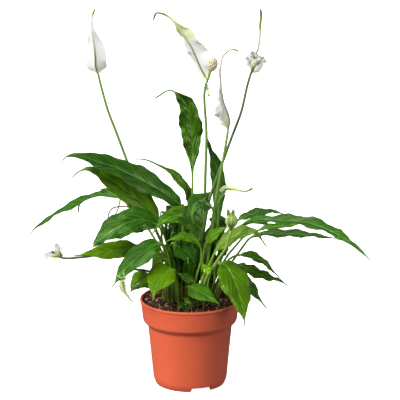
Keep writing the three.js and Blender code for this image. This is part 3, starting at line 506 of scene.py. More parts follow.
def lumps_on_soil(count, sizes, form):
    """Rough balls on the peat: a small ball of rings, drawn out to form, with each point pushed in or
    out by luck, turned, sized and set down. Gives points, faces and a tone for each ball."""
    rings, sides = 5, 7
    tilt = np.linspace(LUMP_CAP, math.pi - LUMP_CAP, rings)[:, None]
    turn = full_turn(sides)[None]
    ball = [np.sin(tilt) * np.cos(turn), np.sin(tilt) * np.sin(turn), np.cos(tilt) + 0 * turn]
    ball = np.stack(ball, 2).reshape(-1, 3)
    size = sizes[0] + (sizes[1] - sizes[0]) * luck.uniform(0, 1, (count, 1, 1)) ** 2
    rough = luck.uniform(*LUMP_ROUGHNESS, (count, len(ball), 1))
    stretch = luck.uniform(*LUMP_STRETCH, (count, 1, 3))
    shapes = ball[None] * rough * size * np.array(form) * stretch / 2
    points = np.einsum("nij,nkj->nki", turned_at_random(count), shapes) + scatter(count)[:, None]
    faces = copies_of(flipped(capped_faces(rings, sides)), count, len(ball))
    tone = np.repeat(luck.uniform(0, 1, count), len(ball))
    return points.reshape(-1, 3), faces, tone


def fibres_on_soil(count):
    """Root fibres: thin tubes that bend in an arc of their own length and curve, lying on the peat.
    Gives points, faces and a tone for each fibre."""
    rings, sides = 9, 5
    share = np.linspace(-0.5, 0.5, rings)[None]
    length = luck.uniform(*FIBRE_LENGTHS, (count, 1))
    heading = luck.uniform(0, 2 * math.pi, (count, 1))
    heading = heading + luck.uniform(-FIBRE_BEND, FIBRE_BEND, (count, 1)) * share
    start = scatter(count)
    x = start[:, :1] + np.cumsum(np.cos(heading), 1) * length / rings
    y = start[:, 1:2] + np.cumsum(np.sin(heading), 1) * length / rings
    out = np.hypot(x, y) / (SOIL_RADIUS - MM)
    x, y = x / np.maximum(out, 1), y / np.maximum(out, 1)
    arch = luck.uniform(0, FIBRE_ARCH, (count, 1)) * (1 - (2 * share) ** 2)
    z = soil_height(x, y) + FIBRE_LIFT + arch
    turn = full_turn(sides)[None, None]
    thin = FIBRE_RADIUS * (1 - 0.5 * np.abs(2 * share))[..., None]
    side = np.stack([-np.sin(heading), np.cos(heading), 0 * heading], 2)[:, :, None]
    up = np.array([0, 0, 1])
    centre = np.stack([x, y, z], 2)[:, :, None]
    points = centre + (thin * np.cos(turn))[..., None] * side + (thin * np.sin(turn))[..., None] * up
    faces = copies_of(capped_faces(rings, sides), count, rings * sides)
    tone = np.repeat(luck.uniform(0, 1, count), rings * sides)
    return points.reshape(-1, 3), faces, tone


def make_litter(name, kinds):
    """Several heaps of scattered bits as one mesh. Their tones lie one after another: crumbs from 0
    to 1, chips from 1 to 2 and fibres from 2 to 3."""
    points, faces, tones, first = [], [], [], 0
    for step, (places, polygons, tone) in enumerate(kinds):
        points.append(places)
        faces += [f + first for f in polygons]
        tones.append(tone * TONE_REACH + step)
        first += len(places)
    values = {"tone": np.concatenate(tones)}
    return make_mesh(name, np.concatenate(points), faces, values, sharp_angle=60)


def read(tree, label):
    """One of the numbers that a mesh holds for each of its points."""
    return add_node(tree, "Attribute", attribute_name=label).outputs["Fac"]


def combine(tree, operation, a, b=0.0):
    """a and b joined by an arithmetic operation."""
    return add_node(tree, "Math", {0: a, 1: b}, operation=operation).outputs[0]


def times(tree, a, b):
    """a multiplied by b."""
    return combine(tree, "MULTIPLY", a, b)


def plus(tree, a, b):
    """a added to b."""
    return combine(tree, "ADD", a, b)


def make_earth_group():
    """Crumbly grain: two scales of noise mix a dark and a light colour, and their mean is the relief."""
    colours = {"Dark": "Color", "Light": "Color"}
    tree, given, out = add_group("crumbly_grain", colours, {"Color": "Color", "Height": "Float"})
    place = place_on(tree)
    grain = plus(tree, noise(tree, place, **COARSE_GRAINS), noise(tree, place, **FINE_GRAINS))
    grain = times(tree, grain, 0.5)
    colour = mix(tree, spread(tree, grain, *GRAIN_CUT), given["Dark"], given["Light"])
    feed(tree, out, {"Color": colour, "Height": grain})
    return tree


crumbly_grain = make_earth_group()


def make_peat():
    """Damp peat, dull and dark brown."""
    material, tree, inputs = make_material("peat", PEAT_FINISH)
    grain = use_group(tree, crumbly_grain, {"Dark": PEAT_DARK, "Light": PEAT_BROWN})
    feed(tree, inputs, {
        "Base Color": grain["Color"],
        "Normal": bump(tree, grain["Height"], PEAT_RELIEF),
    })
    return material


def make_litter_material():
    """Crumbs in peat browns, chips in bark tans and fibres in straw, told apart by their tone."""
    material, tree, inputs = make_material("peat_litter", LITTER_FINISH)
    tone = read(tree, "tone")
    dark = use_group(tree, crumbly_grain, {"Dark": PEAT_DARK, "Light": PEAT_BROWN})
    bark = use_group(tree, crumbly_grain, {"Dark": PEAT_BROWN, "Light": BARK_TAN})
    own = combine(tree, "FRACT", tone)
    crumb = mix(tree, spread(tree, own, 0.72, 1.0), dark["Color"], bark["Color"])
    chip = mix(tree, own, bark["Color"], BARK_TAN)
    fibre = mix(tree, own, BARK_TAN, FIBRE_PALE)
    solid = mix(tree, combine(tree, "GREATER_THAN", tone, 1.0), crumb, chip)
    feed(tree, inputs, {
        "Base Color": mix(tree, combine(tree, "GREATER_THAN", tone, 2.0), solid, fibre),
        "Normal": bump(tree, dark["Height"], LITTER_RELIEF),
    })
    return material


peat = make_soil()
peat.data.materials.append(make_peat())
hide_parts("soil")
litter = make_litter("peat_litter", [
    lumps_on_soil(CRUMBS, CRUMB_SIZES, CRUMB_FORM),
    lumps_on_soil(CHIPS, CHIP_SIZES, CHIP_FORM),
    fibres_on_soil(FIBRES),
])
litter.data.materials.append(make_litter_material())
for piece in (peat, litter):
    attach(piece, "root")

# ---- Leaves ----
# Each leaf is one grown piece: a round green stem that opens into a lance-shaped blade with a strong
# midrib, waved edges and a drawn-out tip. The skin is glossy above and dull beneath, and is quilted
# between veins that leave the midrib and curve towards the tip.

# The tables describe leaves and spathes in millimetres and shares. neck is the point of the route,
# counted from 0, where the stem opens, over the length opening, into a blade that looks to face, and
# at its tip to tip_face. width, skew, fullness, tail and tail_half give the outline, fold and curl
# the section, and wave, waves and frill the edge. LEAF_FORM holds what a leaf's own row doesn't say.
LEAF_FORM = dict(
    step=1.6, thickness=0.55, stem=1.3, opening=9, fold=0.42, curl=0.25, wave=0.06, waves=3, frill=0.04,
    quilt=0.42, rib=1.0, skew=0.72, fullness=(0.8, 1.2), tail_half=(1.9, 0.7),
    tint=[(0, 0), (0.93, 0), (0.98, 0.6), (1, 1)],
)
LEAVES = {
    "leaf_upright": dict(
        route=[(-1, 10), (1, 9, 147), (2, 11, 196), (3, 12, 238), (3, 13, 259), (3, 16, 281),
            (2, 17, 302), (0, 17, 322), (-4, 15, 338), (-12, 12, 348), (-21, 9, 356), (-29, 7, 355),
            (-35, 5, 351), (-42, 4, 347)],
        neck=3.6, width=26.5, face=(0.1, -1, 0.2), tip_face=(-0.2, -0.9, 0.4), tail=0.2, green="mid",
        skew=1.2, fullness=(1.3, 0.8), tail_half=(1.3, 0.9), fold=0.45, frill=0.07, waves=4, wave=0.12,
        quilt=1.1,
    ),
    "leaf_twisted": dict(
        route=[(14, 18), (28, 22, 148), (33, 26, 185), (34, 29, 212), (35, 31, 233), (33, 33, 255),
            (28, 33, 272), (24, 32, 284), (20, 31, 296)],
        neck=2, width=18, face=(0.3, -1, 0), tip_face=(-0.8, -0.7, 0.2), tail=0.03, green="dark",
        skew=1.1, fullness=(1.2, 0.8), waves=3, wave=0.1,
    ),
    "leaf_left_high": dict(
        route=[(-12, 4), (-12, 3, 149), (-8, 1, 192), (-10, -3, 218), (-21, -6, 229), (-41, -11, 244),
            (-64, -17, 258), (-87, -23, 271), (-107, -28, 279), (-125, -32, 286), (-138, -35, 288),
            (-145, -36, 285), (-148, -37, 279)],
        neck=3, width=31, face=(0.2, -0.75, 0.65), tip_face=(0.1, -0.6, 0.8), tail=0.05, green="dark",
        skew=0.8, fullness=(0.8, 0.9), frill=0.06,
    ),
    "leaf_left_bright": dict(
        route=[(-20, -1), (-21, -2, 150), (-31, -3, 185), (-36, -4, 203), (-47, -4, 214),
            (-61, -5, 227), (-78, -7, 241), (-94, -9, 253), (-108, -11, 262), (-119, -13, 267),
            (-130, -15, 264), (-140, -17, 255)],
        neck=3, width=29, face=(-0.15, -0.8, 0.6), tip_face=(-0.2, -0.6, 0.75), tail=0.13,
        green="bright", skew=0.75, fullness=(0.75, 0.9), frill=0.06,
    ),
    "leaf_left_far": dict(
        route=[(-22, 14), (-29, 18, 145), (-48, 26, 180), (-65, 38, 201), (-84, 52, 214),
            (-100, 64, 217), (-117, 78, 211), (-133, 92, 201), (-149, 105, 190), (-167, 119, 178),
            (-184, 133, 163), (-198, 144, 151), (-206, 150, 138)],
        neck=4, width=22, face=(0, -0.4, 1), tip_face=(-0.5, -0.35, 0.9), tail=0.06, green="dark",
        skew=0.85,
    ),
    "leaf_left_glossy": dict(
        route=[(-24, -7), (-28, -5, 151), (-33, -12, 180), (-35, -19, 197), (-47, -23, 206),
            (-61, -28, 209), (-76, -33, 206), (-90, -38, 200), (-101, -43, 193), (-109, -47, 186),
            (-113, -50, 181)],
        neck=3, width=35, face=(-0.2, -0.8, 0.6), tip_face=(-0.6, -0.75, 0.45), tail=0.02, green="dark",
        skew=0.95, fullness=(0.75, 0.8), fold=0.3,
    ),
    "leaf_left_yellow": dict(
        route=[(-29, -3), (-32, -8, 145), (-45, -12, 169), (-61, -17, 175), (-74, -21, 173),
            (-90, -25, 171), (-106, -29, 170), (-121, -33, 169), (-131, -36, 168), (-138, -38, 168)],
        neck=3, width=23, face=(0, -0.85, 0.55), tip_face=(0, -0.7, 0.7), tail=0.1, green="bright",
        warmth=0.3, wave=0.03, fold=0.2, curl=0.1,
    ),
    "leaf_front_left_dark": dict(
        route=[(-21, -19), (-23, -24, 149), (-28, -29, 173), (-33, -33, 182), (-43, -40, 181),
            (-54, -48, 175), (-65, -56, 167), (-74, -63, 160), (-82, -69, 151), (-91, -75, 139)],
        neck=3, width=32, face=(-0.4, -0.75, 0.6), tip_face=(-0.6, -0.6, 0.5), tail=0.1, green="dark",
        wave=0.02, quilt=0.5, skew=0.75, fullness=(0.7, 0.9), fold=0.3,
    ),
    "leaf_front_bright": dict(
        route=[(-13, -27), (-17, -34, 136), (-18, -42, 152), (-27, -50, 152), (-35, -60, 146),
            (-40, -68, 138), (-42, -76, 125)],
        neck=2, width=34, face=(-0.1, -0.6, 0.8), tip_face=(-0.3, -1, 0.1), tail=0.06, green="bright",
        warmth=0.5, wave=0.03, fold=0.3,
    ),
    # Partly painted light: this leaf's bright, warm green also stands in for the light that
    # leaf_front_left_dark's shadow takes from it.
    "leaf_front_left_low": dict(
        route=[(-30, -14), (-35, -26, 133), (-43, -33, 143), (-50, -38, 142), (-58, -43, 139),
            (-65, -48, 134), (-70, -52, 127)],
        neck=2, width=30, face=(-0.3, -0.7, 0.65), tip_face=(-0.5, -0.7, 0.5), tail=0.05, green="bright",
        wave=0.03, fold=0.2, warmth=0.6,
    ),
    "leaf_front_low": dict(
        route=[(-3, -23), (-5, -31, 123), (-3, -38, 131), (8, -45, 128), (20, -54, 124),
            (28, -60, 120), (35, -64, 117)],
        neck=2, width=24, face=(0.2, -0.7, 0.7), tip_face=(0.4, -0.7, 0.6), tail=0.05, green="mid",
        wave=0.02, fold=0.25,
    ),
    "leaf_over_rim": dict(
        route=[(22, -17), (29, -22, 131), (30, -26, 150), (34, -30, 157), (43, -37, 154),
            (50, -46, 144), (56, -55, 131), (60, -64, 116), (63, -70, 104), (64, -74, 93)],
        neck=3, width=38, face=(0.2, -0.6, 0.8), tip_face=(0.5, -0.85, 0.2), tail=0.06, green="mid",
        warmth=0.4, wave=0.04, fold=0.3,
    ),
    "leaf_right_low_dark": dict(
        route=[(31, -14), (41, -14, 137), (52, -14, 141), (64, -14, 130), (74, -15, 119),
            (82, -17, 109), (92, -20, 97)],
        neck=2, width=20, face=(0.5, -0.6, 0.6), tip_face=(0.7, -0.5, 0.5), tail=0.15, green="dark",
    ),
    "leaf_right_low": dict(
        route=[(34, 2), (46, 4, 137), (55, 5, 145), (69, 5, 138), (84, 4, 132), (98, 3, 128),
            (109, 2, 125), (118, 1, 119)],
        neck=2, width=22, face=(0.2, -0.4, 1), tip_face=(0.4, -0.3, 1), tail=0.08, green="mid",
        waves=4,
    ),
    "leaf_right_arched": dict(
        route=[(28, 8), (41, 9, 142), (48, 10, 151), (58, 11, 155), (71, 12, 154), (83, 12, 149),
            (92, 12, 142), (101, 12, 133), (108, 12, 126)],
        neck=3, width=17, face=(0.1, -0.35, 1), tip_face=(0.8, -0.3, 0.6), tail=0.1, green="mid",
    ),
    "leaf_right_long": dict(
        route=[(20, -8), (26, -12, 153), (38, -18, 184), (59, -26, 201), (77, -36, 211),
            (96, -48, 214), (116, -62, 217), (133, -76, 218.5), (151, -92, 217), (168, -110, 213),
            (183, -128, 207), (196, -142, 199), (203, -150, 193)],
        neck=3, width=25, face=(0.05, -0.35, 1), tip_face=(0.4, -0.5, 0.9), tail=0.03, green="dark",
        skew=0.85, waves=5,
    ),
    "leaf_right_middle": dict(
        route=[(28, -6), (41, -6, 138), (51, -6, 153), (63, -8, 171), (71, -11, 182), (85, -14, 188),
            (104, -18, 189), (123, -22, 190), (140, -26, 190), (156, -30, 189), (174, -34, 188)],
        neck=4, width=18, face=(0, -0.3, 1), tip_face=(0.1, -0.3, 1), tail=0.05, green="dark",
        skew=0.85, waves=4,
    ),
    "leaf_right_upper": dict(
        route=[(22, -1), (43, 2, 154), (55, 4, 169), (64, 5, 179), (78, 6, 186), (95, 7, 190),
            (112, 7, 192), (129, 7, 195), (144, 7, 197)],
        neck=4, width=15, face=(0, -0.25, 1), tip_face=(0, -0.25, 1), tail=0.1, green="mid",
        skew=0.85,
    ),
    "leaf_right_back": dict(
        route=[(18, 14), (36, 20, 159), (46, 26, 181), (56, 29, 192), (69, 32, 198), (81, 34, 201),
            (93, 36, 202), (104, 38, 201), (114, 40, 198)],
        neck=3, width=17, face=(0, -0.3, 1), tip_face=(0.2, -0.3, 1), tail=0.06, green="dark",
        skew=0.85,
    ),
    "leaf_right_back_small": dict(
        route=[(24, 20), (43, 28, 157), (58, 34, 180), (72, 40, 187), (85, 46, 185), (96, 52, 181),
            (106, 58, 176)],
        neck=3, width=14, face=(0, 0, 1), tip_face=(0.4, 0, 1), tail=0.1, green="mid",
    ),
    "leaf_young_right": dict(
        route=[(9, -31), (15, -32, 139), (23, -32, 156), (30, -33, 172), (39, -36, 183),
            (52, -40, 192), (64, -44, 198), (75, -48, 200), (83, -50, 192), (90, -52, 182)],
        neck=3, width=24, face=(0, -0.5, 0.9), tip_face=(0.5, -0.5, 0.7), tail=0.12, green="young",
    ),
    "leaf_young_middle": dict(
        route=[(13, -21), (14, -22, 140), (16, -22, 165), (19, -23, 177), (25, -26, 187),
            (33, -28, 194), (40, -30, 199), (47, -31, 202)],
        neck=3, width=17, face=(-0.2, -0.6, 0.8), tip_face=(0, -0.6, 0.8), tail=0.1, green="bright",
        slot="young", warmth=0.3,
    ),
    "leaf_middle_curved": dict(
        route=[(4, -14), (8, -25, 139), (14, -34, 166), (11, -38, 182), (2, -42, 190), (-10, -46, 193),
            (-21, -49, 191), (-29, -51, 188)],
        neck=3, width=16, face=(0, -0.5, 0.85), tip_face=(-0.3, -0.5, 0.85), tail=0.1, green="bright",
    ),
    "leaf_middle_left": dict(
        route=[(-3, -8), (1, -8, 150), (9, -11, 173), (13, -19, 193), (5, -25, 205), (-6, -31, 213),
            (-17, -36, 216), (-29, -41, 213), (-38, -44, 204), (-45, -46, 195)],
        neck=3, width=27, face=(0.2, -0.8, 0.6), tip_face=(-0.6, -0.7, 0.5), tail=0.1, green="mid",
    ),
    "leaf_middle_top": dict(
        route=[(14, -9), (21, -12, 153), (26, -15, 191), (27, -16, 219), (19, -20, 226),
            (11, -25, 231), (6, -30, 229), (3, -34, 222), (3, -37, 214), (5, -39, 207)],
        neck=3, width=22, face=(-0.1, -0.5, 0.9), tip_face=(-0.2, -1, 0.2), tail=0.1, green="dark",
    ),
    "leaf_left_slender": dict(
        route=[(-8, 16), (-7, 20, 144), (-4, 21, 190), (-2, 20, 217), (-3, 15, 232), (-11, 11, 245),
            (-21, 9, 256), (-34, 7, 265), (-48, 6, 272), (-56, 6, 274), (-65, 6, 274)],
        neck=3, width=15, face=(0.3, -0.6, 0.75), tip_face=(0, -0.4, 1), tail=0.25, green="bright",
    ),
    "leaf_back": dict(
        route=[(0, 22), (7, 40, 163), (8, 62, 200), (10, 80, 208), (11, 98, 207), (12, 114, 194),
            (13, 126, 171), (15, 133, 140)],
        neck=2, width=28, face=(0, -0.3, 1), tip_face=(0, 0.9, 0.5), tail=0.12, green="dark",
    ),
    "leaf_back_left": dict(
        route=[(-14, 22), (-15, 36, 164), (-27, 50, 181), (-43, 70, 180), (-60, 90, 179),
            (-75, 108, 174), (-91, 125, 160)],
        neck=2, width=24, face=(0, 0, 1), tip_face=(-0.4, 0.4, 0.8), tail=0.12, green="dark",
    ),
    "leaf_back_right": dict(
        route=[(14, 26), (27, 44, 162), (29, 66, 181), (33, 84, 186), (36, 102, 179), (38, 116, 160),
            (40, 124, 135)],
        neck=2, width=22, face=(0, 0, 1), tip_face=(0, 0.9, 0.5), tail=0.12, green="dark",
        fold=-0.4, fullness=(0.9, 0.8),
    ),
    "leaf_back_middle": dict(
        route=[(-8, 27), (-9, 50, 167), (-15, 72, 191), (-18, 90, 195), (-20, 108, 184),
            (-22, 122, 161), (-23, 130, 133)],
        neck=2, width=22, face=(0, 0, 1), tip_face=(0, 0.9, 0.5), tail=0.12, green="mid",
    ),
    "leaf_left_hidden": dict(
        route=[(-16, 9), (-21, 10, 168), (-36, 15, 195), (-50, 22, 212), (-65, 30, 223),
            (-82, 38, 229), (-95, 43, 229), (-111, 48, 227)],
        neck=4, width=12, face=(0, -0.2, 1), tip_face=(0, 0, 1), tail=0.35, green="dark",
    ),
    "leaf_inner_dark": dict(
        route=[(-12, -9), (-18, -10, 148), (-23, -12, 168), (-21, -14, 177), (-13, -17, 174),
            (-4, -20, 168), (3, -22, 160), (7, -23, 149)],
        neck=3, width=26, face=(0.3, -1, 0.3), tip_face=(0.4, -1, 0.2), tail=0.08, green="dark",
    ),
    # Partly painted light: this leaf's bright, warm green, lighter than its mid slot, stands in for the
    # light falling on it.
    "leaf_inner_olive": dict(
        route=[(-17, -12), (-21, -14, 138), (-27, -17, 157), (-34, -19, 159), (-39, -21, 156),
            (-43, -23, 152), (-45, -24, 147)],
        neck=2, width=18, face=(-0.2, -0.7, 0.6), tip_face=(-0.5, -0.8, 0.4), tail=0.1, green="bright",
        slot="mid", warmth=0.3,
    ),
    "leaf_front_small": dict(
        route=[(6, -28), (7, -30, 125), (4, -34, 135), (-3, -38, 140), (-9, -42, 145), (-14, -45, 149)],
        neck=2, width=12, face=(0, -0.7, 0.7), tip_face=(0, -0.8, 0.6), tail=0.05, green="mid",
        opening=4,
    ),
    "leaf_sprout": dict(
        route=[(16, -38), (22, -40, 138), (24, -43, 148), (20, -44, 153), (15, -46, 161)],
        neck=2, width=12, face=(0, -1, 0.3), tip_face=(0, -1, 0.3), tail=0.05, green="lime",
        slot="young", opening=3, stem=0.8, wave=0.12, frill=0.3,
    ),
    "leaf_seedling": dict(
        route=[(2, -46), (1, -47, 112), (-3, -48, 116), (-7, -49, 120)],
        neck=1, width=9, face=(0, -0.6, 0.8), tip_face=(0, -0.8, 0.6), tail=0.05, green="bright",
        opening=3, stem=0.8,
    ),
    "leaf_inner_right": dict(
        route=[(22, 6), (32, 7, 140), (34, 7, 153), (38, 7, 160), (43, 7, 168), (48, 8, 175)],
        neck=2, width=14, face=(-0.3, -0.8, 0.5), tip_face=(0, -0.8, 0.6), tail=0.05, green="dark",
    ),
    "leaf_inner_shade": dict(
        route=[(9, 14), (11, 13, 128), (16, 13, 146), (20, 13, 162), (25, 14, 177), (28, 15, 191),
            (30, 16, 205)],
        neck=2, width=22, face=(0, -1, 0.2), tip_face=(0.2, -1, 0.2), tail=0.06, green="dark",
    ),
}

STEM_FOOT = 88
SOIL_LINE = 106
STEM_FLARE = 1.25
STEM_STEP = 4.0
FINE_PLACES = 60
FEWEST_RINGS = 24
TAIL_DEPTH = 0.6
TAIL_LIMIT = 0.8
EDGE_THINNING = 0.92
TIP_ROUNDING = 40
TIP_NARROWING = 0.9
THREAD_SHARE = 0.25
SHOOT_NECK = 0.3
SHOOT_TAIL = 0.06
SHOOT_JITTER = 0.3
SHOOT_LIFTS = (0.8, 0.3)
SHOOT_RISE = np.array([0, 0.4, 0.75, 0.95, 1, 0.9])
SHOOT_REACH = np.array([0, 0, 0.1, 0.3, 0.55, 0.8, 1])
YOUNG_SHOOTS = {
    "low_shoots": dict(count=34, middle=(0, 4), start=-15, turn=290, feet=(8, 26), leans=(10, 26),
                       heights=(20, 95), widths=(14, 22), stem=0.5, opening=6),
    "tall_shoots": dict(count=14, middle=(0, 4), start=60, turn=150, feet=(8, 26), leans=(6, 18),
                        heights=(80, 108), widths=(18, 25), stem=0.7, opening=6),
    "seedlings": dict(count=11, middle=(-4, -46), start=0, turn=360, feet=(1, 4), leans=(6, 10),
                      heights=(3, 9), widths=(6, 9), stem=0.35, opening=2),
}
EDGE_LAG = 1.9
PHASE_STEP = 2.4
QUICK_WAVES = 2.7
QUICK_START = 1.3
QUICK_FRILL = 0.6
QUICK_WAVE = 0.3
RIB_RADIUS = (1.25, 0.35)
RIB_CHANNEL = 0.3
CHANNEL_WIDTH = 0.9
RIDGE_WIDTH = 0.95
QUILT_START = 2
QUILT_ROUNDING = 0.7
QUILT_LEVEL = 0.6
VEIN_STEP = 0.38
VEIN_LEAN = 2.1
VEIN_BEND = 1.5
SMALL_VEINS = 10
COLUMNS = 35
COLUMN_CROWDING = 1.35


def spline(route, places):
    """Points and directions on the centripetal Catmull-Rom curve through a route, at places from 0 to
    1 that give each span an equal share. In a span from p1 to p2 the curve is a cubic whose end
    slopes come from the neighbours, with the root of each span's length as its time."""
    route = np.asarray(route, float)
    ends = np.vstack([2 * route[0] - route[1], route, 2 * route[-1] - route[-2]])
    spans = len(route) - 1
    span = np.minimum((places * spans).astype(int), spans - 1)
    t = (places * spans - span)[:, None]
    p0, p1, p2, p3 = (ends[span + k] for k in range(4))
    steps = ((p0, p1), (p1, p2), (p2, p3))
    d0, d1, d2 = (np.sqrt(np.linalg.norm(b - a, axis=1, keepdims=True)) for a, b in steps)
    slope1 = ((p1 - p0) / d0 - (p2 - p0) / (d0 + d1) + (p2 - p1) / d1) * d1
    slope2 = ((p2 - p1) / d1 - (p3 - p1) / (d1 + d2) + (p3 - p2) / d2) * d1
    square, cube = 3 * (p2 - p1) - 2 * slope1 - slope2, 2 * (p1 - p2) + slope1 + slope2
    points = p1 + slope1 * t + square * t**2 + cube * t**3
    along = slope1 + 2 * square * t + 3 * cube * t**2
    return points, along / np.linalg.norm(along, axis=1, keepdims=True)


def unit(vectors):
    """The same directions with length 1."""
    vectors = np.asarray(vectors, float)
    return vectors / np.linalg.norm(vectors, axis=-1, keepdims=True)


def smooth_step(x):
    """0 below 0, 1 above 1, and 3x^2 - 2x^3 between."""
    x = np.clip(x, 0, 1)
    return x * x * (3 - 2 * x)


def measure(route):
    """Places from 0 to 1 along a route, close together, and the length of its curve up to each."""
    fine = np.linspace(0, 1, FINE_PLACES * len(route))
    return fine, lengths_along(spline(route, fine)[0])


def rows_along(route, neck_share, form):
    """The line of a leaf or spathe: where its rings stand, evenly along the stem and then along the
    blade, and at each ring the point, the direction across and the direction up. The blade looks to
    face at the neck and to tip_face at the tip, and the stem keeps the neck's direction across."""
    face, tip_face = unit(form["face"]), unit(form["tip_face"])
    fine, run = measure(route)
    neck = np.interp(neck_share, fine, run)
    blade = run[-1] - neck
    marks = neck + np.linspace(0, blade, max(int(blade / form["step"]), FEWEST_RINGS))
    if neck > 0:
        marks = np.concatenate([np.linspace(0, neck, int(neck / STEM_STEP), endpoint=False), marks])
    centre, along = spline(route, np.interp(marks, run, fine))
    q = np.clip((marks - neck) / blade, 0, 1)[:, None]
    across = np.cross(along, face + (tip_face - face) * q)
    across[marks < neck] = np.cross(along[np.searchsorted(marks, neck)], face)
    across = unit(across - (across * along).sum(1, keepdims=True) * along)
    return marks - neck, blade, centre, across, np.cross(across, along)


def half_width(q, form):
    """Half the width at a share q of the blade: with s = q / (1 - tail), the root of the sum of the
    squares of width/2 sin(pi s^skew)^fullness and of the narrow strip that the tip is drawn out to.
    The end of the strip is rounded to a point."""
    s = np.minimum(q / (1 - form["tail"]), 1)
    start, end = form["fullness"]
    wide, narrow = form["tail_half"]
    bulge = np.sin(math.pi * s ** form["skew"]).clip(0)
    leafy = form["width"] / 2 * bulge ** (start + (end - start) * s)
    return np.hypot(leafy, wide + (narrow - wide) * q) * np.sqrt(1 - TIP_NARROWING * q**TIP_ROUNDING)


def tint_at(q, form):
    """The tint at a share q of the blade, straight between the pairs (share, tint) of the form."""
    places, tints = zip(*form["tint"])
    return np.interp(q, places, tints)


def blade_skin(route, neck_share, form, phase):
    """The closed skin of a leaf or spathe: its points, its faces and the numbers that its material
    reads. A ring has an upper row of points from left to right and a lower row back. With w the share
    of the half width, the height over the line is half (fold |w| - curl w^2) + waves of the edge
    w^2 sin(turn) + the quilting between the veins, and the lower row adds the midrib. Near the neck
    this turns into the round stem."""
    run, blade, centre, across, up = rows_along(route, neck_share, form)
    q = np.clip(run / blade, 0, 1)[:, None]
    half = half_width(q, form)
    leafy = np.minimum(half / (THREAD_SHARE * form["width"]), 1)
    column = np.linspace(-1, 1, COLUMNS)[None]
    w = np.sign(column) * np.abs(column) ** COLUMN_CROWDING
    turn = 2 * math.pi * form["waves"] * q + phase + EDGE_LAG * (w > 0)
    quick_turn = QUICK_WAVES * turn + QUICK_START * phase
    frill = form["frill"] * leafy * (np.cos(turn) + QUICK_FRILL * np.cos(quick_turn))
    x = half * w * (1 + frill)
    dish = half * (form["fold"] * np.abs(w) - form["curl"] * w**2)
    edge = w**2 * np.sin(turn) + QUICK_WAVE * np.abs(w) ** 3 * np.sin(quick_turn)
    ripple = form["wave"] * form["width"] * leafy * edge
    from_rib = np.abs(x)
    vein = run[:, None] - VEIN_LEAN * from_rib - VEIN_BEND * x**2 / half.max()
    vein = vein / (VEIN_STEP * form["width"])
    swell = np.abs(np.sin(math.pi * vein)) ** QUILT_ROUNDING - QUILT_LEVEL
    beside_rib = 1 - np.exp(-((from_rib / QUILT_START) ** 2))
    quilt = form["quilt"] * leafy * swell * (1 - w**4) * beside_rib
    rib = RIB_RADIUS[0] + (RIB_RADIUS[1] - RIB_RADIUS[0]) * q
    channel = RIB_CHANNEL * leafy * (1 - q) * np.exp(-((from_rib / CHANNEL_WIDTH) ** 2))
    ridge = form["rib"] * rib * leafy * np.exp(-((from_rib / (RIDGE_WIDTH * rib)) ** 2))
    thick = np.minimum(form["thickness"] / 2 + TAIL_DEPTH * half * (1 - leafy), TAIL_LIMIT * half)
    thick = thick * np.sqrt(1 - EDGE_THINNING * np.abs(w) ** 6)
    middle = dish + ripple + quilt
    stem = form["stem"] * (1 + (STEM_FLARE - 1) * np.clip(-run / max(-run[0], 1), 0, 1))[:, None]
    opened = smooth_step(run[:, None] / form["opening"])
    x_stem, z_stem = stem * np.sin(math.pi / 2 * column), stem * np.cos(math.pi / 2 * column)
    sideways = x_stem + (x - x_stem) * opened
    over = z_stem + (middle + thick - channel - z_stem) * opened
    under = -z_stem + (middle - thick - ridge + z_stem) * opened
    sideways = np.concatenate([sideways, sideways[:, ::-1]], 1)[..., None]
    rise = np.concatenate([over, under[:, ::-1]], 1)[..., None]
    points = centre[:, None] + across[:, None] * sideways + up[:, None] * rise
    upper = {
        "along": q + 0 * w,
        "vein": vein,
        "from_rib": from_rib,
        "opened": opened + 0 * w,
        "tint": tint_at(q, form) + 0 * w,
        "below": 0 * vein,
    }
    values = {label: np.concatenate([value, value[:, ::-1]], 1) for label, value in upper.items()}
    values["below"][:, COLUMNS:] = 1
    return points.reshape(-1, 3) * MM, capped_faces(len(run), 2 * COLUMNS), values


def join_skins(skins):
    """Several skins as one: their points, faces and numbers one after another."""
    first = np.cumsum([0] + [len(points) for points, _, _ in skins])
    points = np.concatenate([points for points, _, _ in skins])
    faces = [f + start for (_, polygons, _), start in zip(skins, first) for f in polygons]
    values = {label: np.concatenate([v[label].ravel() for _, _, v in skins]) for label in skins[0][2]}
    return points, faces, values


def shoots(count, middle, start, turn, feet, leans, heights, widths, stem, opening):
    """Young leaves in a ring round a middle. Each starts at its foot, rises, and leans outwards to its
    tip; luck draws the angle, how far out it starts and leans, its height and its width."""
    skins = []
    for number in range(count):
        angle = math.radians(start + turn * (number + luck.uniform(-SHOOT_JITTER, SHOOT_JITTER)) / count)
        out = np.array([math.cos(angle), math.sin(angle), 0])
        foot, lean, height, width = (luck.uniform(*limits) for limits in (feet, leans, heights, widths))
        rise = np.concatenate([[STEM_FOOT - SOIL_LINE], height * SHOOT_RISE])
        reach = foot + lean * SHOOT_REACH
        route = reach[:, None] * out + rise[:, None] * [0, 0, 1] + [*middle, SOIL_LINE]
        form = LEAF_FORM | dict(width=width, tail=SHOOT_TAIL, stem=stem, opening=opening)
        face, tip_face = (out + [0, 0, lift] for lift in SHOOT_LIFTS)
        form |= dict(face=face, tip_face=tip_face)
        skins.append(blade_skin(route, SHOOT_NECK, form, number * PHASE_STEP))
    return join_skins(skins)


def route_of(first, *rest):
    """A route whose foot is straight and sunk in the peat."""
    return [(*first, STEM_FOOT), (*first, SOIL_LINE), *rest]
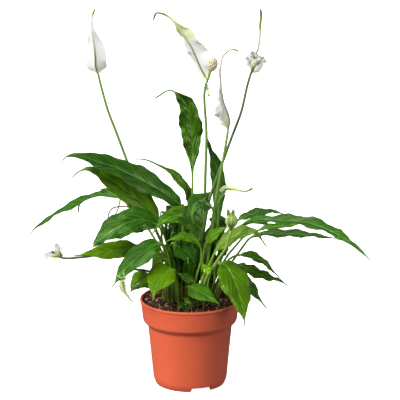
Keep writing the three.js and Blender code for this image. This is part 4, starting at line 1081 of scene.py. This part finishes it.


# blade is each leaf's own green; light is partly a paler tone of it and partly painted highlight, laid on
# the streaks along the veins.
LEAF_GREENS = {
    "dark": dict(blade=(0.008, 0.045, 0.003, 1), light=(0.040, 0.155, 0.007, 1)),
    "mid": dict(blade=(0.014, 0.065, 0.002, 1), light=(0.070, 0.200, 0.004, 1)),
    "bright": dict(blade=(0.034, 0.110, 0.001, 1), light=(0.110, 0.260, 0.002, 1)),
    "young": dict(blade=(0.070, 0.145, 0.008, 1), light=(0.150, 0.260, 0.025, 1)),
    "lime": dict(blade=(0.280, 0.600, 0.006, 1), light=(0.380, 0.760, 0.020, 1)),
}
STEM_GREEN = (0.150, 0.310, 0.025, 1)
RIB_GREEN = (0.130, 0.300, 0.050, 1)
UNDER_GREEN = (0.130, 0.260, 0.080, 1)
WARM_GREEN = (0.100, 0.215, 0.001, 1)
TIP_BROWN = (0.150, 0.090, 0.025, 1)
LEAF_SHEEN = (0.75, 1, 0.4, 1)
LEAF_FINISH = {"Specular IOR Level": 0.6, "Specular Tint": LEAF_SHEEN}
LEAF_ROUGHNESS = (0.26, 0.10)
LEAF_RELIEF = 0.06 * MM
GROOVE_SHADE = 0.45
BROWNED_FOOT = (0.102, 0.128)
BROAD_CLOUDS = dict(scale=35.0, cut=(0.35, 0.7))
FINE_CLOUDS = dict(scale=420.0, cut=(0.25, 0.5), detail=4.0, roughness=0.7)
STREAKS = dict(scale=1.0, cut=(0.4, 0.6), detail=2.0)
STREAK_STRETCH = dict(along=2.4, out=0.1, drift=0.8)
LEAF_GRAIN = dict(scale=2200.0, detail=2.0)


def between_veins(tree):
    """0 on a vein and 1 half-way to the next."""
    return combine(tree, "ABSOLUTE", combine(tree, "SINE", times(tree, read(tree, "vein"), math.pi)))


def make_leaf_group():
    """The skin of a leaf. Broad clouds and streaks along the veins mix the blade's two greens, partly its
    own tone and partly a painted highlight on the streaks; warmth turns it yellower; the grooves over
    the veins are darkened with painted shade; the midrib, the stem and the underside have their own
    greens; the stem's foot is browned in spots, and so is the last of the tip. The height holds
    streaks, small veins and fine grain. The skin is glossier where it is light, and duller beneath."""
    kinds = dict.fromkeys(("Blade", "Light", "Painted_Groove_Shade", "Rib", "Stem", "Under", "Warm", "Tip"), "Color")
    kinds["Warmth"] = "Float"
    results = {"Color": "Color", "Roughness": "Float", "Height": "Float"}
    tree, given, out = add_group("leaf_skin", kinds, results)
    place = place_on(tree)
    vein, from_rib, below, tint = (read(tree, label) for label in ("vein", "from_rib", "below", "tint"))
    broad = clouds(tree, place, **BROAD_CLOUDS)
    cloudy = clouds(tree, place, **FINE_CLOUDS)
    down_vein = add_node(tree, "CombineXYZ", {
        "X": times(tree, vein, STREAK_STRETCH["along"]),
        "Y": times(tree, from_rib, STREAK_STRETCH["out"]),
        "Z": times(tree, broad, STREAK_STRETCH["drift"]),
    }).outputs[0]
    streak = clouds(tree, down_vein, **STREAKS)
    # Partly the leaf's own tone and partly painted highlight: the streaks along the veins turn a lighter
    # green and glossier.
    tone_and_painted_highlight = plus(tree, times(tree, broad, 0.3), times(tree, streak, 0.7))
    blade = mix(tree, tone_and_painted_highlight, given["Blade"], given["Light"])
    blade = mix(tree, given["Warmth"], blade, given["Warm"])
    # Painted shade: the blade is darkened in the grooves over the veins.
    blade = mix(tree, spread(tree, between_veins(tree), 0.0, 0.5, 0.4, 0.0), blade, given["Painted_Groove_Shade"])
    above = mix(tree, spread(tree, from_rib, 0.3, 1.3, 0.35, 0.0), blade, given["Rib"])
    under = mix(tree, times(tree, below, 0.75), above, given["Under"])
    level = add_node(tree, "SeparateXYZ", {0: place}).outputs["Z"]
    browned = times(tree, spread(tree, level, *BROWNED_FOOT, 0.8, 0.0), cloudy)
    stem = mix(tree, browned, given["Stem"], given["Tip"])
    opened = mix(tree, read(tree, "opened"), stem, under)
    yellow = mix(tree, spread(tree, tint, 0.0, 0.6), opened, given["Warm"])
    small_veins = combine(tree, "SINE", times(tree, vein, SMALL_VEINS * math.pi))
    relief = plus(tree, times(tree, small_veins, 0.4), noise(tree, place, **LEAF_GRAIN))
    feed(tree, out, {
        "Color": mix(tree, spread(tree, tint, 0.6, 1.0), yellow, given["Tip"]),
        "Roughness": plus(tree, spread(tree, tone_and_painted_highlight, 0, 1, *LEAF_ROUGHNESS), times(tree, below, 0.2)),
        "Height": plus(tree, times(tree, streak, 2.5), relief),
    })
    return tree


leaf_skin = make_leaf_group()


def make_leaf_material(name, warmth, blade, light):
    """Glossy leaf skin in one of the plant's greens, turned yellower by warmth."""
    material, tree, inputs = make_material(name, LEAF_FINISH)
    skin = use_group(tree, leaf_skin, {
        "Blade": blade, "Light": light, "Painted_Groove_Shade": toned(blade, GROOVE_SHADE), "Rib": RIB_GREEN,
        "Stem": STEM_GREEN, "Under": UNDER_GREEN, "Warm": WARM_GREEN, "Tip": TIP_BROWN,
        "Warmth": warmth})
    feed(tree, inputs, {
        "Base Color": skin["Color"],
        "Roughness": skin["Roughness"],
        "Normal": bump(tree, skin["Height"], LEAF_RELIEF),
    })
    return material


leaf_kinds = sorted({(leaf["green"], leaf.get("warmth", 0)) for leaf in LEAVES.values()})
leaf_materials = {
    (green, warmth): make_leaf_material(f"leaf_{green}_{int(10 * warmth)}", warmth, **LEAF_GREENS[green])
    for green, warmth in leaf_kinds
}

for number, (name, leaf) in enumerate(LEAVES.items()):
    route = route_of(*leaf["route"])
    skin = blade_skin(route, (leaf["neck"] + 1) / (len(route) - 1), LEAF_FORM | leaf, number * PHASE_STEP)
    blade = make_mesh(name + "_blade", *skin)
    blade.data.materials.append(leaf_materials[leaf["green"], leaf.get("warmth", 0)])
    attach(blade, "root")
    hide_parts(name)

for name, ring in YOUNG_SHOOTS.items():
    tuft = make_mesh(name, *shoots(**ring))
    # Partly painted shade: the shoots take the dark leaf green, which also stands in for the shade among
    # the stems of the crown.
    tuft.data.materials.append(leaf_materials["dark", 0])
    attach(tuft, "root")

# ---- Blooms ----
# A flower is a round stalk that ends in a spadix, a blunt spike of tiny cream florets, with one white
# leaf, the spathe, that springs from the stalk just below it and hoods it. Young spathes are still
# rolled up, pale green, and all have a green midrib and a green, drawn-out tip.

# seat is the length of stalk above the spathe's foot, and spadix the length and radius of the spike.
# A tint is a row of pairs (share of the length, tint), where 0 is white, 1 green and 2 dry.
PLAIN = [(0, 0), (1, 0)]
FRILLED = dict(tail=0.02, wave=0.15, frill=0.3, tint=PLAIN)
BLOOMS = {
    "bloom_left": dict(
        stalk=[(-14, 16), (-17, 15, 129), (-29, 14, 158), (-42, 13, 188.5), (-54.5, 12, 219.5),
            (-65, 11, 245.5), (-74.5, 11, 271.5), (-87, 10, 307), (-95.5, 10, 330), (-103, 10, 357.5),
            (-107, 11, 375.5), (-108, 13, 383.5)],
        spathe=[(-109.5, 6.5, 384.5), (-110, 5.5, 396.5), (-111, 6, 408), (-113, 7, 421),
            (-114, 9, 434.5), (-113, 10, 444.5), (-109.5, 11, 452.5)],
        width=26, face=(0.3, 1, -0.1), tip_face=(0.2, 1, 0), tail=0.1, fold=0.45, curl=0.1,
        skew=0.5, fullness=(0.5, 1.8), tail_half=(1.2, 1.2), wave=0.05,
        tint=[(0, 0.3), (0.12, 0), (0.84, 0), (0.88, 0.5), (0.91, 1)],
        seat=9, spadix=(15, 4.5),
    ),
    "bloom_top": dict(
        stalk=[(8, 8), (11, 6, 148), (15.5, 4, 182), (17.5, 0, 221), (18.5, -3, 263.5),
            (19.5, -5, 307.5), (17.5, -5, 339.5), (17, -5, 353.5), (18.5, -6, 364.5),
            (21.5, -7, 373.5), (24, -8, 382)],
        spathe=[(13, -5, 384.5), (7.5, -4, 397), (1.5, -4, 410), (-7, -5, 424), (-15, -6, 435.5),
            (-23, -7, 444), (-32.5, -8, 449.5), (-39, -8, 449.5), (-42, -8, 441.5)],
        width=27, face=(0.63, 0.75, -0.2), tip_face=(0.5, 0.7, 0.3), tail=0.18, fold=0.7, curl=0.2,
        skew=0.62, fullness=(0.6, 1.5), tail_half=(1.1, 1.1), wave=0.1, waves=4,
        tint=[(0, 0.5), (0.1, 0), (0.4, 0), (0.5, 0.4), (0.74, 0.45), (0.82, 0.9), (0.9, 1.6), (1, 2)],
        seat=10, spadix=(17, 6),
        lobes=[dict(route=[(18.5, -7, 368), (20.5, -8, 360), (22.5, -8, 352)], width=6, rib=0)],
    ),
    "bloom_furled": dict(
        stalk=[(13, -3), (18, -5, 151), (25, -8, 191.5), (30.5, -10, 228.5), (38, -11, 271.5),
            (43, -11, 301.5), (44.5, -11, 312)],
        spathe=[(46.5, -11, 323), (44.5, -11, 333), (40, -11, 345), (37.5, -11, 357),
            (36.5, -11, 370), (36.5, -11, 386.5), (38.5, -11, 398), (44.5, -11, 406), (51, -11, 409),
            (57, -11, 406)],
        width=14, face=(-0.95, -0.3, 0), tip_face=(-0.4, -0.8, -0.3), tail=0.58, fold=1.7, curl=0,
        skew=0.85, fullness=(0.7, 0.9), tail_half=(1.6, 0.9), wave=0.16, waves=5,
        tint=[(0, 0.9), (0.06, 0.25), (0.3, 0), (0.7, 0.1), (0.85, 0.3), (1, 1)],
    ),
    "bloom_right": dict(
        stalk=[(6, -2), (11, -2, 150.5), (16.5, -2, 190), (23, -3, 227), (34.5, -3, 261),
            (48, -3, 299.5), (60, -4, 333), (67, -5, 364.5), (70.5, -5, 377), (73.5, -6, 386)],
        spathe=[(74.5, 1, 383), (75.5, 5, 390), (76.5, 8, 398), (79.5, 9, 404.5), (81.5, 10, 417.5),
            (82, 10, 434), (83, 10, 444), (82, 8, 452.5)],
        width=21, face=(0, -1, 0.3), tip_face=(0, -1, 0), tail=0.66, fold=0.25, curl=0, opening=4,
        skew=1.25, fullness=(0.45, 0.4), tail_half=(0.9, 1.6), wave=0.06, finish="stalk_dark",
        tint=[(0, 0.4), (0.1, 0), (0.5, 0), (0.62, 0.2), (0.72, 1), (0.95, 1.3), (1, 1.8)],
        seat=7, spadix=(10.5, 3.6),
        lobes=[
            FRILLED | dict(route=[(75, 3, 386), (70, 2, 392), (68, 1, 398)], width=9,
                           face=(-0.6, -0.8, -0.1), tip_face=(-0.6, -0.8, 0.2)),
            FRILLED | dict(route=[(76, 3, 386), (83, 3, 392), (86, 3, 398)], width=9,
                           face=(0.4, -0.8, 0), tip_face=(0.4, -0.8, 0.3)),
            FRILLED | dict(route=[(76, 6, 394), (74, 5, 400), (73, 3, 404)], width=8,
                           face=(-0.3, -0.9, 0), tip_face=(-0.2, -1, 0.2)),
        ],
    ),
    "bloom_low_left": dict(
        stalk=[(-31, 3), (-35.5, -2, 150.5), (-49.5, -8, 170.5), (-71, -14, 171.5),
            (-94.5, -19, 167.5), (-117.5, -25, 164), (-134, -30, 163.5), (-145.5, -34, 164),
            (-152, -35, 165.5)],
        spathe=[(-152, -35, 172), (-153.5, -36, 178), (-155.5, -37, 184)],
        width=11, face=(-0.5, -0.9, 0), tip_face=(-0.5, -0.9, 0), tail=0.02, fold=0.4, curl=0, opening=3,
        skew=1.2, fullness=(0.6, 0.5), tail_half=(1.5, 1.4), wave=0.06, finish="stalk_dark",
        tint=[(0, 1.3), (0.3, 0.3), (0.5, 0)], seat=2, spadix=(8, 1.9),
        lobes=[
            dict(route=[(-152, -36, 167), (-157, -38, 167), (-164, -40, 168), (-171, -41, 171)],
                 width=11, face=(0, -0.8, 0.6), tip_face=(0, -0.8, 0.6)),
            dict(route=[(-158, -39, 172), (-160, -40, 173.5), (-162, -40, 174)], width=3, opening=1,
                 tint=[(0, 0.3), (0.4, 0.6), (0.6, 1.9)]),
        ],
    ),
    "bloom_hanging": dict(
        stalk=[(-25, -13), (-26, -17, 127.5), (-35.5, -22, 139), (-50.5, -27, 146.5),
            (-63, -38, 151.5), (-71.5, -48, 155.5), (-75.5, -54, 155), (-76.5, -56, 151)],
        spathe=[(-77.5, -58, 145.5), (-76.5, -59, 138.5), (-74.5, -60, 131.5), (-71, -60, 125),
            (-67, -60, 119.5), (-63, -61, 118.5)],
        width=9, face=(-0.5, -0.9, 0), tip_face=(-0.6, -0.8, 0), tail=0.2, fold=0.7, curl=0, opening=4,
        skew=0.85, fullness=(0.6, 1.1), tail_half=(1, 0.7), wave=0.12, petal="spathe_young",
        tint=[(0, 0.9), (0.1, 0.3), (0.6, 0.5), (0.85, 0.9), (1, 1)],
        lobes=[
            dict(route=[(-77, -60, 147), (-76, -72, 149), (-79, -78, 153), (-84, -79, 157)], width=9,
                 face=(-0.3, -0.8, 0.6), tip_face=(-0.3, -0.8, 0.6), tint=PLAIN),
            dict(route=[(-76, -60, 147), (-75, -72, 149), (-75, -78, 154), (-76, -79, 160)], width=8,
                 face=(-0.3, -0.8, 0.6), tip_face=(-0.3, -0.8, 0.6), tint=PLAIN),
        ],
    ),
    "bloom_curled": dict(
        stalk=[(14, 4), (20.5, 3, 149), (25, 2, 186.5), (28.5, 0, 211.5), (33.5, -2, 223),
            (38.5, -3, 232.5)],
        spathe=[(43, -5, 239.5), (49.5, -8, 240.5), (59, -13, 240), (66.5, -17, 240.5),
            (71.5, -19, 243), (74, -21, 246)],
        width=10, face=(0, -0.8, 0.6), tip_face=(0, -0.8, 0.6), tail=0.3, fold=0.8, curl=0, opening=5,
        skew=0.5, fullness=(0.5, 1.6), tail_half=(1.3, 1.3), wave=0.12,
        tint=[(0, 0.6), (0.1, 0.3), (0.5, 0.4), (0.66, 0.9), (0.75, 1.3), (1, 1.5)],
    ),
    "bloom_bud": dict(
        stalk=[(13, -27), (19, -33, 137.5), (27, -39, 154), (35.5, -45, 169), (43, -51, 183),
            (45.5, -55, 194.5), (47.5, -57, 203.5)],
        spathe=[(48.5, -57, 214.5), (48.5, -57, 223), (48, -57, 226)],
        width=13.5, face=(0, -1, 0), tip_face=(0, -1, 0), tail=0.05, skew=1.2, fullness=(1.2, 0.6),
        furled=True, petal="spathe_young", finish="stalk_young",
        tint=[(0, 1), (0.3, 0.8), (0.8, 0.9), (1, 1.4)],
        lobes=[
            dict(route=[(46, -57, 220), (44.8, -57.5, 224), (44.6, -58, 228), (43, -58, 230)], width=3.6,
                 tint=[(0, 1), (0.5, 1.4)]),
            dict(route=[(49.4, -57, 221), (50.2, -57.5, 225), (50.4, -58, 230)], width=3.4,
                 tint=[(0, 1), (0.5, 1.4)]),
        ],
    ),
}

STALK_RADIUS = 1.6
STALK_TAPER = 0.85
STALK_STEP = 3.0
STALK_SIDES = 18
STALK_RIBS = 6
STALK_RELIEF = 0.04
SPATHE_FOOT = 1.1
SPATHE_FORM = LEAF_FORM | dict(
    step=0.9, thickness=0.5, stem=SPATHE_FOOT, opening=6, fold=0.5, curl=0.2, wave=0.04, waves=2.3,
    frill=0.06, quilt=0.1, rib=0.6,
)
SPATHE_PHASE = 0.6
LOBE_OPENING = 3
FURLED_DEPTH = 0.8
FURLED_LEAST = 0.4
FURLED_GIRTH = 6
FURLED_SIDES = 40
FURLED_STEP = 0.13
FURLED_RIBS = 9
FURLED_RELIEF = 0.12
FURLED_OPENING = 3
SEAM_TURN = 2.2
BUD_GAP = 0.3
SPADIX_RINGS = 70
SPADIX_SIDES = 84
SPADIX_CAP = 0.12
FLORET_RELIEF = 0.2
FLORET_LEVEL = 0.6
FLORET_SPIRALS = 8
FLORET_ROWS = 5
STALK_COLOURS = {
    "stalk": dict(low=(0.090, 0.190, 0.020, 1), high=(0.190, 0.320, 0.050, 1)),
    "stalk_dark": dict(low=(0.110, 0.190, 0.040, 1), high=(0.090, 0.135, 0.065, 1)),
    "stalk_young": dict(low=(0.120, 0.230, 0.020, 1), high=(0.320, 0.450, 0.100, 1)),
}
PETALS = {
    "spathe": dict(petal=(0.78, 0.78, 0.76, 1), shade=(0.70, 0.72, 0.67, 1)),
    "spathe_young": dict(petal=(0.62, 0.68, 0.40, 1), shade=(0.30, 0.42, 0.10, 1)),
}
PETAL_PALE = (0.70, 0.76, 0.34, 1)
PETAL_GREEN = (0.190, 0.320, 0.040, 1)
PETAL_RIB = (0.075, 0.160, 0.015, 1)
PETAL_DRY = (0.170, 0.160, 0.100, 1)
FLORET_CREAM = (0.86, 0.80, 0.58, 1)
FLORET_GAP = (0.36, 0.26, 0.09, 1)
FLORET_EYE = (0.12, 0.06, 0.02, 1)
MOTTLE = dict(scale=300.0, cut=(0.3, 0.8, 0.0, 0.5))
MOTTLE_SHADE = 0.75
STALK_FINISH = {"Roughness": 0.38}
STALK_GRAIN = dict(scale=1500.0, depth=0.05 * MM)
PETAL_CLOUDS = dict(scale=160.0, cut=(0.3, 0.75), detail=4.0)
PETAL_FINISH = {
    "Roughness": 0.5,
    "Specular IOR Level": 0.3,
    "Subsurface Weight": 0.35,
    "Subsurface Radius": (1.0, 1.0, 0.8),
    "Subsurface Scale": 1.5 * MM,
}
PETAL_GRAIN = dict(scale=1200.0, depth=0.04 * MM)
RIPENESS = dict(scale=420.0, cut=(0.38, 0.5))
SPADIX_FINISH = {"Roughness": 0.75}
SPADIX_GRAIN = dict(scale=1800.0, depth=0.2 * MM)


def along_at(route, before_end):
    """The point of a route at a length before its end, and the direction there."""
    fine, run = measure(route)
    points, along = spline(route, np.interp([run[-1] - before_end], run, fine))
    return points[0], along[0]


def around(centre, across, up, wide, tall, turn):
    """Oval rings round a line, in metres: centre + across wide cos(turn) + up tall sin(turn)."""
    points = centre[:, None] + across[:, None] * (wide * np.cos(turn))[..., None]
    points = points + up[:, None] * (tall * np.sin(turn))[..., None]
    return points.reshape(-1, 3) * MM


def make_stalk(name, route, radius=STALK_RADIUS):
    """A round stem with STALK_RIBS low ribs, a little thinner towards its top."""
    fine, run = measure(route)
    marks = np.linspace(0, run[-1], int(run[-1] / STALK_STEP))
    centre, along = spline(route, np.interp(marks, run, fine))
    share = np.linspace(0, 1, len(centre))[:, None]
    across = unit(np.cross([0, -1, 0], along))
    turn = -full_turn(STALK_SIDES)[None]
    taper = STEM_FLARE + (STALK_TAPER - STEM_FLARE) * share
    thick = radius * taper * (1 + STALK_RELIEF * np.cos(STALK_RIBS * turn))
    points = around(centre, across, np.cross(across, along), thick, thick, turn)
    return make_mesh(name, points, capped_faces(len(centre), STALK_SIDES), {"along": share + 0 * turn})


def furled_skin(route, form):
    """A rolled-up spathe. Its section is an oval that grows by FURLED_STEP in one turn, so that the
    outer edge of the roll stands over the inner one, and it has low lengthwise ribs."""
    run, blade, centre, across, up = rows_along(route, 0, form)
    q = (run / blade)[:, None]
    half = half_width(q, form)
    deep = np.maximum(FURLED_DEPTH * half, FURLED_LEAST)
    turn = np.linspace(0, 2 * math.pi, FURLED_SIDES)[None]
    turned = turn / (2 * math.pi)
    rolled = 1 + FURLED_STEP * (turned - 0.5) * np.sin(math.pi * q**0.7)
    ribbed = rolled * (1 + FURLED_RELIEF * np.cos(FURLED_RIBS * turn))
    opened = smooth_step(run[:, None] / FURLED_OPENING)
    wide = SPATHE_FOOT + (half * ribbed - SPATHE_FOOT) * opened
    tall = SPATHE_FOOT + (deep * ribbed - SPATHE_FOOT) * opened
    points = around(centre, across, up, wide, tall, SEAM_TURN - turn)
    values = {
        "along": q + 0 * turn,
        "vein": FURLED_RIBS * turned + 0 * q,
        "from_rib": FURLED_GIRTH * turned + 0 * q,
        "tint": tint_at(q, form) + 0 * turn,
    }
    return points, capped_faces(len(run), FURLED_SIDES), values


def spathe_skins(foot, bloom):
    """The skins of a spathe that springs from foot: its main sheet, rolled up or open, and its lobes."""
    sheet = SPATHE_FORM | bloom
    route = [foot, *bloom["spathe"]]
    furled = bloom.get("furled")
    skins = [furled_skin(route, sheet) if furled else blade_skin(route, 0, sheet, SPATHE_PHASE)]
    for lobe in bloom.get("lobes", []):
        form = sheet | dict(opening=LOBE_OPENING) | lobe
        skins.append(blade_skin(lobe["route"], 0, form, SPATHE_PHASE))
    return skins


def make_spadix(name, end, along, length, radius):
    """A blunt spike: radius sin(tilt) at height (1 - cos(tilt)) length/2 over the end of its stalk,
    with a floret wherever two families of spirals cross, each raised by the sum of their waves."""
    tilt = np.linspace(SPADIX_CAP, math.pi - SPADIX_CAP, SPADIX_RINGS)[:, None]
    turn = full_turn(SPADIX_SIDES)[None]
    rise = 2 * FLORET_ROWS * tilt
    floret = 0.5 + 0.25 * (np.cos(FLORET_SPIRALS * turn + rise) + np.cos(FLORET_SPIRALS * turn - rise))
    thick = radius * np.sin(tilt) * (1 + FLORET_RELIEF * (floret - FLORET_LEVEL))
    across = unit(np.cross([0, -1, 0], along))
    centre = end + along * (length / 2 * (1 - np.cos(tilt)))
    points = around(centre, across[None], np.cross(along, across)[None], thick, thick, turn)
    return make_mesh(name, points, capped_faces(SPADIX_RINGS, SPADIX_SIDES), {"floret": floret})


def make_stalk_material(name, low, high):
    """Smooth green stem that turns from the low colour to the high one, with darker mottling."""
    material, tree, inputs = make_material(name, STALK_FINISH)
    mottle = clouds(tree, place_on(tree), **MOTTLE)
    colour = mix(tree, read(tree, "along"), low, high)
    feed(tree, inputs, {
        "Base Color": mix(tree, mottle, colour, toned(low, MOTTLE_SHADE)),
        "Normal": grained(tree, **STALK_GRAIN),
    })
    return material


def make_spathe_material(name, petal, shade):
    """Petal white or young green with faint veins and a soft, slightly waxy skin that lets light
    through. The midrib is green and fades towards the tip, and the tint from 0 to 2 takes the colour
    through pale green and green to dry."""
    material, tree, inputs = make_material(name, PETAL_FINISH)
    tint = read(tree, "tint")
    cloudy = clouds(tree, place_on(tree), **PETAL_CLOUDS)
    colour = mix(tree, cloudy, petal, shade)
    colour = mix(tree, spread(tree, between_veins(tree), 0.0, 0.5, 0.6, 0.0), colour, shade)
    colour = mix(tree, spread(tree, tint, 0.0, 0.5), colour, PETAL_PALE)
    colour = mix(tree, spread(tree, tint, 0.5, 1.0), colour, PETAL_GREEN)
    rib = times(tree, spread(tree, read(tree, "from_rib"), 0.6, 1.6, 1.0, 0.0),
                spread(tree, read(tree, "along"), 0.3, 0.6, 0.95, 0.15))
    colour = mix(tree, rib, colour, PETAL_RIB)
    feed(tree, inputs, {
        "Base Color": mix(tree, spread(tree, tint, 1.0, 2.0), colour, PETAL_DRY),
        "Normal": grained(tree, **PETAL_GRAIN),
    })
    return material


def make_spadix_material():
    """Cream florets with greenish gaps, and a brown eye in the middle of the ripe ones."""
    material, tree, inputs = make_material("spadix", SPADIX_FINISH)
    floret = read(tree, "floret")
    colour = mix(tree, spread(tree, floret, 0.15, 0.55), FLORET_GAP, FLORET_CREAM)
    ripe = clouds(tree, place_on(tree), **RIPENESS)
    eye = times(tree, spread(tree, floret, 0.6, 0.75), ripe)
    feed(tree, inputs, {
        "Base Color": mix(tree, eye, colour, FLORET_EYE),
        "Normal": grained(tree, **SPADIX_GRAIN),
    })
    return material


stalk_materials = {name: make_stalk_material(name, **colours) for name, colours in STALK_COLOURS.items()}
spathe_materials = {name: make_spathe_material(name, **colours) for name, colours in PETALS.items()}
spadix_material = make_spadix_material()

for name, bloom in BLOOMS.items():
    route = route_of(*bloom["stalk"])
    stalk = make_stalk(name + "_stem", route)
    stalk.data.materials.append(stalk_materials[bloom.get("finish", "stalk")])
    parts = [(stalk, "stalk", "stalk")]
    end, along = along_at(route, 0)
    seat, stem_along = along_at(route, bloom.get("seat", 0))
    foot = seat + along * BUD_GAP
    if "spadix" in bloom:
        away = unit(bloom["face"]) - stem_along * np.dot(unit(bloom["face"]), stem_along)
        foot = seat - unit(away) * (STALK_TAPER * STALK_RADIUS)
        spike = make_spadix(name + "_spike", end, along, *bloom["spadix"])
        spike.data.materials.append(spadix_material)
        parts.append((spike, "spadix", "spadix"))
    petal = bloom.get("petal", "spathe")
    hood = make_mesh(name + "_hood", *join_skins(spathe_skins(foot, bloom)), sharp_angle=70)
    hood.data.materials.append(spathe_materials[petal])
    parts.append((hood, "spathe", petal))
    for piece, node, finish in parts:
        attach(piece, "root")
        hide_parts(f"{name}_{node}")

# ---- Dry threads ----
# The last of withered leaves: thin brown and straw-coloured threads that still hang from the stems
# behind the clump.

THREADS = {
    "dry_thread_brown": dict(
        route=[(-40, 16, 199), (-58, 24, 208), (-71.5, 30, 209.5), (-92.5, 30, 208.5),
            (-97.5, 30, 201.5), (-99.5, 30, 190)],
        low=(0.150, 0.130, 0.050, 1), high=(0.110, 0.075, 0.035, 1)),
    "dry_thread_straw": dict(
        route=[(-82, 37, 227), (-84.5, 32, 215.5), (-87.5, 30, 204.5), (-94.5, 30, 194)],
        low=(0.400, 0.420, 0.080, 1), high=(0.420, 0.340, 0.130, 1)),
    "dry_thread_far": dict(
        route=[(-136.5, 92, 198), (-138, 92, 192), (-138.3, 92, 186.5)],
        low=(0.060, 0.110, 0.020, 1), high=(0.150, 0.120, 0.060, 1)),
}
THREAD_RADIUS = 0.9

for name, thread in THREADS.items():
    piece = make_stalk(name, thread["route"], THREAD_RADIUS)
    piece.data.materials.append(make_stalk_material(name, thread["low"], thread["high"]))
    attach(piece, "root")
